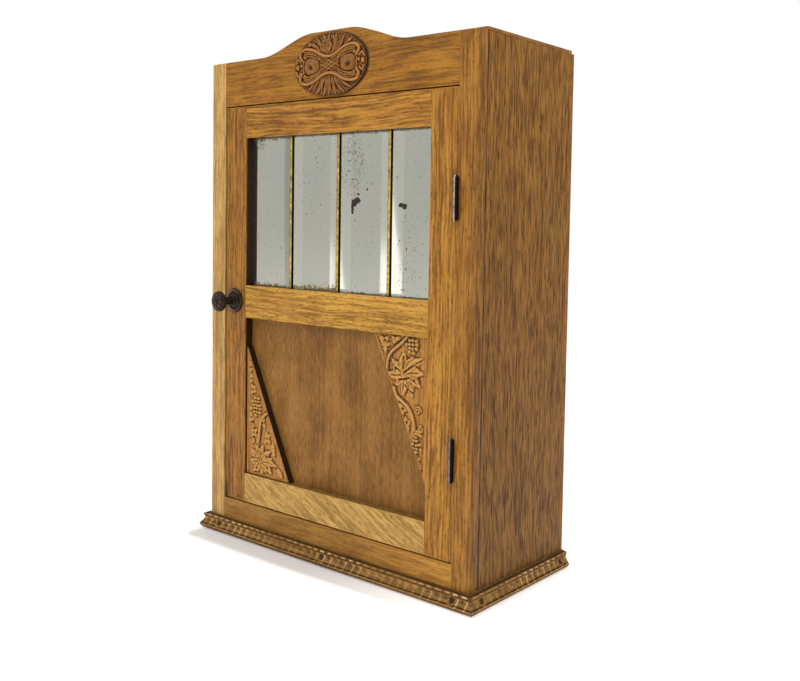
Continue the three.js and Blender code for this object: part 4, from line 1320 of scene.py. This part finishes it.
def metal_finish(name, base, worn, seed, roughness, metallic=0.85,
                 grime_and_shade=(0.01, 0.007, 0.005), tarnish_and_shade=None):
    """Old metal: a mottled skin, bright where it is rubbed and dull where dirt sits. An optional
    mask adds places that are nearly black, as dark oxide and as painted shade."""
    shader = Shader(name)
    shader.set("Metallic", metallic)
    mottle = shader.noise(4, seed, detail=4)
    scratch = shader.noise((0.6, 0.6, 5.0), seed + 1)
    shader.colour = shader.blend(shader.fade(mottle, 0.35, 0.7), base, np.array(base) * 1.9)
    shader.paint(shader.fade(scratch, 0.6, 0.75, 0, 0.35), worn)
    shader.paint(shader.fade(shader.relief(), 0.62, 1.0), worn)
    shader.paint(shader.fade(mottle, 0.40, 0.25, 0, 0.6), grime_and_shade)
    rough = shader.total((0.25, mottle), (-0.1, scratch), roughness)
    if tarnish_and_shade:
        dull = tarnish_and_shade(shader)
        # the mask's nearly black places are dark oxide and painted shade
        shader.paint(dull, grime_and_shade)
        rough = shader.total((0.4, dull), rough)
    shader.set("Base Color", shader.colour)
    shader.set("Roughness", rough)
    shader.bump(shader.total((0.6, mottle), (0.4, scratch)), 0.08)
    return shader.material


def came_side_oxide_and_shade(shader):
    """1 on the sides of the brass strips, painted nearly black as dark oxide and as painted shade.
    Only their fronts have been rubbed clean.
    """
    low, high = box_mm("mirror_came_1")
    pitch = box_mm("mirror_came_2")[0][0] - low[0]
    middle = (low[0] + high[0]) / 2
    nearest = shader.math("ROUND", shader.offset(shader.x, middle, pitch))
    aside = shader.math("ABSOLUTE", shader.total((-pitch, nearest), shader.x, -middle))
    behind = shader.fade(shader.y, low[1] + 0.5, low[1] + 1.1)
    return shader.most(shader.fade(aside, 1.35, 1.8), behind)


def hinge_painted_shade(shader):
    """Painted shade: 1 on the hinges' right halves and on the leaves behind them, so that each
    barrel looks lit only on its left, and the lower hinge is painted darker overall."""
    low, high = box_mm("hinge_pin_upper")
    middle = (low[0] + high[0]) / 2
    right = shader.fade(shader.x, middle + 0.4, middle + 1.0)
    leaf = shader.fade(shader.y, high[1] + 0.6, high[1] + 1.4)
    lower = shader.fade(shader.z, low[2] - 20, low[2] - 40, 0.0, 0.6)
    return shader.most(lower, right, leaf)


def finish_glass_and_metal():
    for index in (1, 2, 3, 4):
        pane_piece(index)
    brass = metal_finish("came_brass", (0.42, 0.30, 0.06), (0.85, 0.70, 0.28), 81, roughness=0.25,
                         grime_and_shade=(0.02, 0.012, 0.004), tarnish_and_shade=came_side_oxide_and_shade)
    for index in (1, 2, 3):
        dress("mirror_came_" + str(index), brass, 0.5, segments=3, round_metal=True)
    steel = metal_finish("hinge_steel", (0.36, 0.29, 0.27), (0.78, 0.68, 0.65), 82, roughness=0.24,
                         grime_and_shade=(0.012, 0.008, 0.006), tarnish_and_shade=hinge_painted_shade)
    iron = metal_finish("latch_iron", (0.05, 0.04, 0.035), (0.35, 0.28, 0.25), 85, roughness=0.38)
    zinc = metal_finish("plate_zinc", (0.30, 0.30, 0.31), (0.6, 0.6, 0.62), 83, roughness=0.42,
                        grime_and_shade=(0.10, 0.09, 0.08))
    for start, finish, rounding in (
        ("hinge_", steel, 0.15),
        ("latch_tongue", iron, 0.25),
        ("latch_nut", iron, 0.25),
        ("hanger_", zinc, 0.2),
    ):
        for node in nodes:
            if node.startswith(start):
                dress(node, finish, rounding, round_metal=True)
    bronze = metal_finish("knob_bronze", (0.017, 0.009, 0.005), (0.31, 0.235, 0.165), 84,
                          metallic=0.7, roughness=0.38)
    add_knob(bronze)


# ---------- stage, light and camera ----------
def floor_with_painted_shadow():
    """White paper that glows, with a painted contact shadow where the glow fades out close to
    the cabinet's base, deepest there.
    """
    shader = Shader("floor_paper_with_painted_shadow")
    grey = shader.noise(300, 1)
    paper = shader.blend(grey, (0.78, 0.78, 0.79), (0.82, 0.82, 0.82))
    shader.set("Base Color", paper)
    shader.set("Emission Color", paper)
    shift = (5.0, -3.0)  # the painted shadow lies a little to the right and to the front
    fade_width = 17.0
    away = []
    for value, near, far, lean in zip((shader.x, shader.y), cad_box[0] / MM, cad_box[1] / MM, shift):
        offset = shader.math("ABSOLUTE", shader.minus(value, (near + far) / 2 + lean))
        away.append(shader.most(shader.minus(offset, (far - near) / 2), 0.0))
    thin_right = shader.fade(shader.x, -60.0, 200.0, 0.0, 11.0)
    thin_left = shader.fade(shader.x, -200.0, -224.0, 0.0, 14.0)
    distance = shader.total(shader.length(*away), thin_right, thin_left)
    # painted shadow: the glow fades to nothing close to the cabinet's base
    shader.set("Emission Strength", shader.fade(distance, 0.0, fade_width, 0.0, 0.72))
    shader.set("Roughness", shader.total((0.1, grey), 0.8))
    return shader.material


def add_floor():
    """A round pale floor that glows to white outside a painted contact shadow round the cabinet.
    It ends before the mirrors could show its edge."""
    floor_radius = 2.4
    gap = 0.2 * MM
    work = bmesh.new()
    bmesh.ops.create_circle(work, cap_ends=True, segments=96, radius=floor_radius)
    mesh = bpy.data.meshes.new("floor")
    work.to_mesh(mesh)
    work.free()
    mesh.materials.append(floor_with_painted_shadow())
    floor = bpy.data.objects.new("floor", mesh)
    scene.collection.objects.link(floor)
    floor.location.z = cad_box[0].z - gap


def room_light(room, direction):
    """How bright the room round the cabinet is, by direction. Azimuths are in degrees, with 0
    in front and negative ones on the left."""
    degree = 180 / math.pi
    x, y, z = room.split(direction)
    azimuth = room.product(room.math("ARCTAN2", x, room.product(y, -1.0)), degree)
    elevation = room.product(room.math("ARCSINE", z), degree)
    wall = room.band(azimuth, -51.5, -37.8, 1.0)
    window = room.band(azimuth, -37.8, -22, 1.0)
    corner = room.band(azimuth, -66, -59.2, 1.0)
    slanting = room.total((1.12, azimuth), 30.3)
    front_card = room.product(
        room.band(azimuth, -36, -20, 1.0), room.fade(room.minus(elevation, slanting), 0.4, -0.4)
    )
    side_card = room.product(room.band(azimuth, -58.0, -53.2, 1.6), room.fade(elevation, -0.6, -2.4))
    low_down = room.fade(elevation, 0.5, -4.5)
    return room.total(
        ROOM_LIGHT, (WALL_LIGHT - ROOM_LIGHT, wall), (-0.03, window), (-0.28, corner),
        (0.9, front_card), (0.8, side_card), (0.12, low_down),
    )


def add_world():
    """White where the camera looks. The cabinet itself sees a soft room, a little darker in
    front of the mirrors, with white cards low down that light the bevels of the glass."""
    world = bpy.data.worlds.new("studio")
    scene.world = world
    world.use_nodes = True
    tree = world.node_tree
    room = Nodes(tree)
    direction = tree.nodes.new("ShaderNodeTexCoord").outputs["Generated"]
    backdrop = tree.nodes["Background"]
    backdrop.inputs["Color"].default_value = (1.0, 0.985, 0.955, 1)
    room.feed(backdrop.inputs["Strength"], room_light(room, direction))
    white = tree.nodes.new("ShaderNodeBackground")
    white.inputs["Color"].default_value = (1, 1, 1, 1)
    seen = tree.nodes.new("ShaderNodeLightPath")
    choice = tree.nodes.new("ShaderNodeMixShader")
    tree.links.new(seen.outputs["Is Camera Ray"], choice.inputs["Fac"])
    tree.links.new(backdrop.outputs[0], choice.inputs[1])
    tree.links.new(white.outputs[0], choice.inputs[2])
    tree.links.new(choice.outputs[0], tree.nodes["World Output"].inputs["Surface"])


def towards(azimuth, elevation):
    """From the cabinet to a place round it. Azimuth 0 is in front and 90 at its right."""
    a, e = math.radians(azimuth), math.radians(elevation)
    return Vector((math.sin(a) * math.cos(e), -math.cos(a) * math.cos(e), math.sin(e)))


def add_area_light(name, azimuth, elevation, distance, size, power):
    """A square soft box that looks at the cabinet."""
    back = towards(azimuth, elevation)
    light = bpy.data.lights.new(name, "AREA")
    light.shape = "SQUARE"
    light.size = size
    light.energy = power
    lamp = bpy.data.objects.new(name, light)
    lamp.location = (cad_box[0] + cad_box[1]) / 2 + back * distance
    lamp.rotation_euler = back.to_track_quat("Z", "Y").to_euler()
    lamp.visible_camera = False
    scene.collection.objects.link(lamp)


def add_lights():
    add_area_light("key", azimuth=-32, elevation=40, distance=2.6, size=0.8, power=15.8)
    add_area_light("overhead", azimuth=10, elevation=86, distance=2.4, size=2.2, power=14)
    add_area_light("side", azimuth=78, elevation=52, distance=1.0, size=0.5, power=2.2)


def add_camera():
    """The photo's camera, solved from the cabinet's straight edges."""
    place = (0.7648, -0.8378, 0.3923)
    azimuth, elevation, roll = 38.21, 3.27, 1.05
    back = towards(azimuth, elevation)
    right = Vector((0, 0, 1)).cross(back).normalized()
    facing = Matrix((right, back.cross(right), back)).transposed()
    turn = facing @ Matrix.Rotation(math.radians(roll), 3, "Z")
    lens = bpy.data.cameras.new("camera")
    lens.lens = 42.38
    lens.shift_x = -0.0626
    lens.shift_y = -0.0780
    camera = bpy.data.objects.new("camera", lens)
    camera.matrix_world = Matrix.Translation(place) @ turn.to_4x4()
    scene.collection.objects.link(camera)
    scene.camera = camera


finish_carcass()
finish_face_frame()
finish_door_frame()
add_carvings()
finish_glass_and_metal()
add_floor()
add_world()
add_lights()
add_camera()
scene.view_settings.view_transform = "Standard"
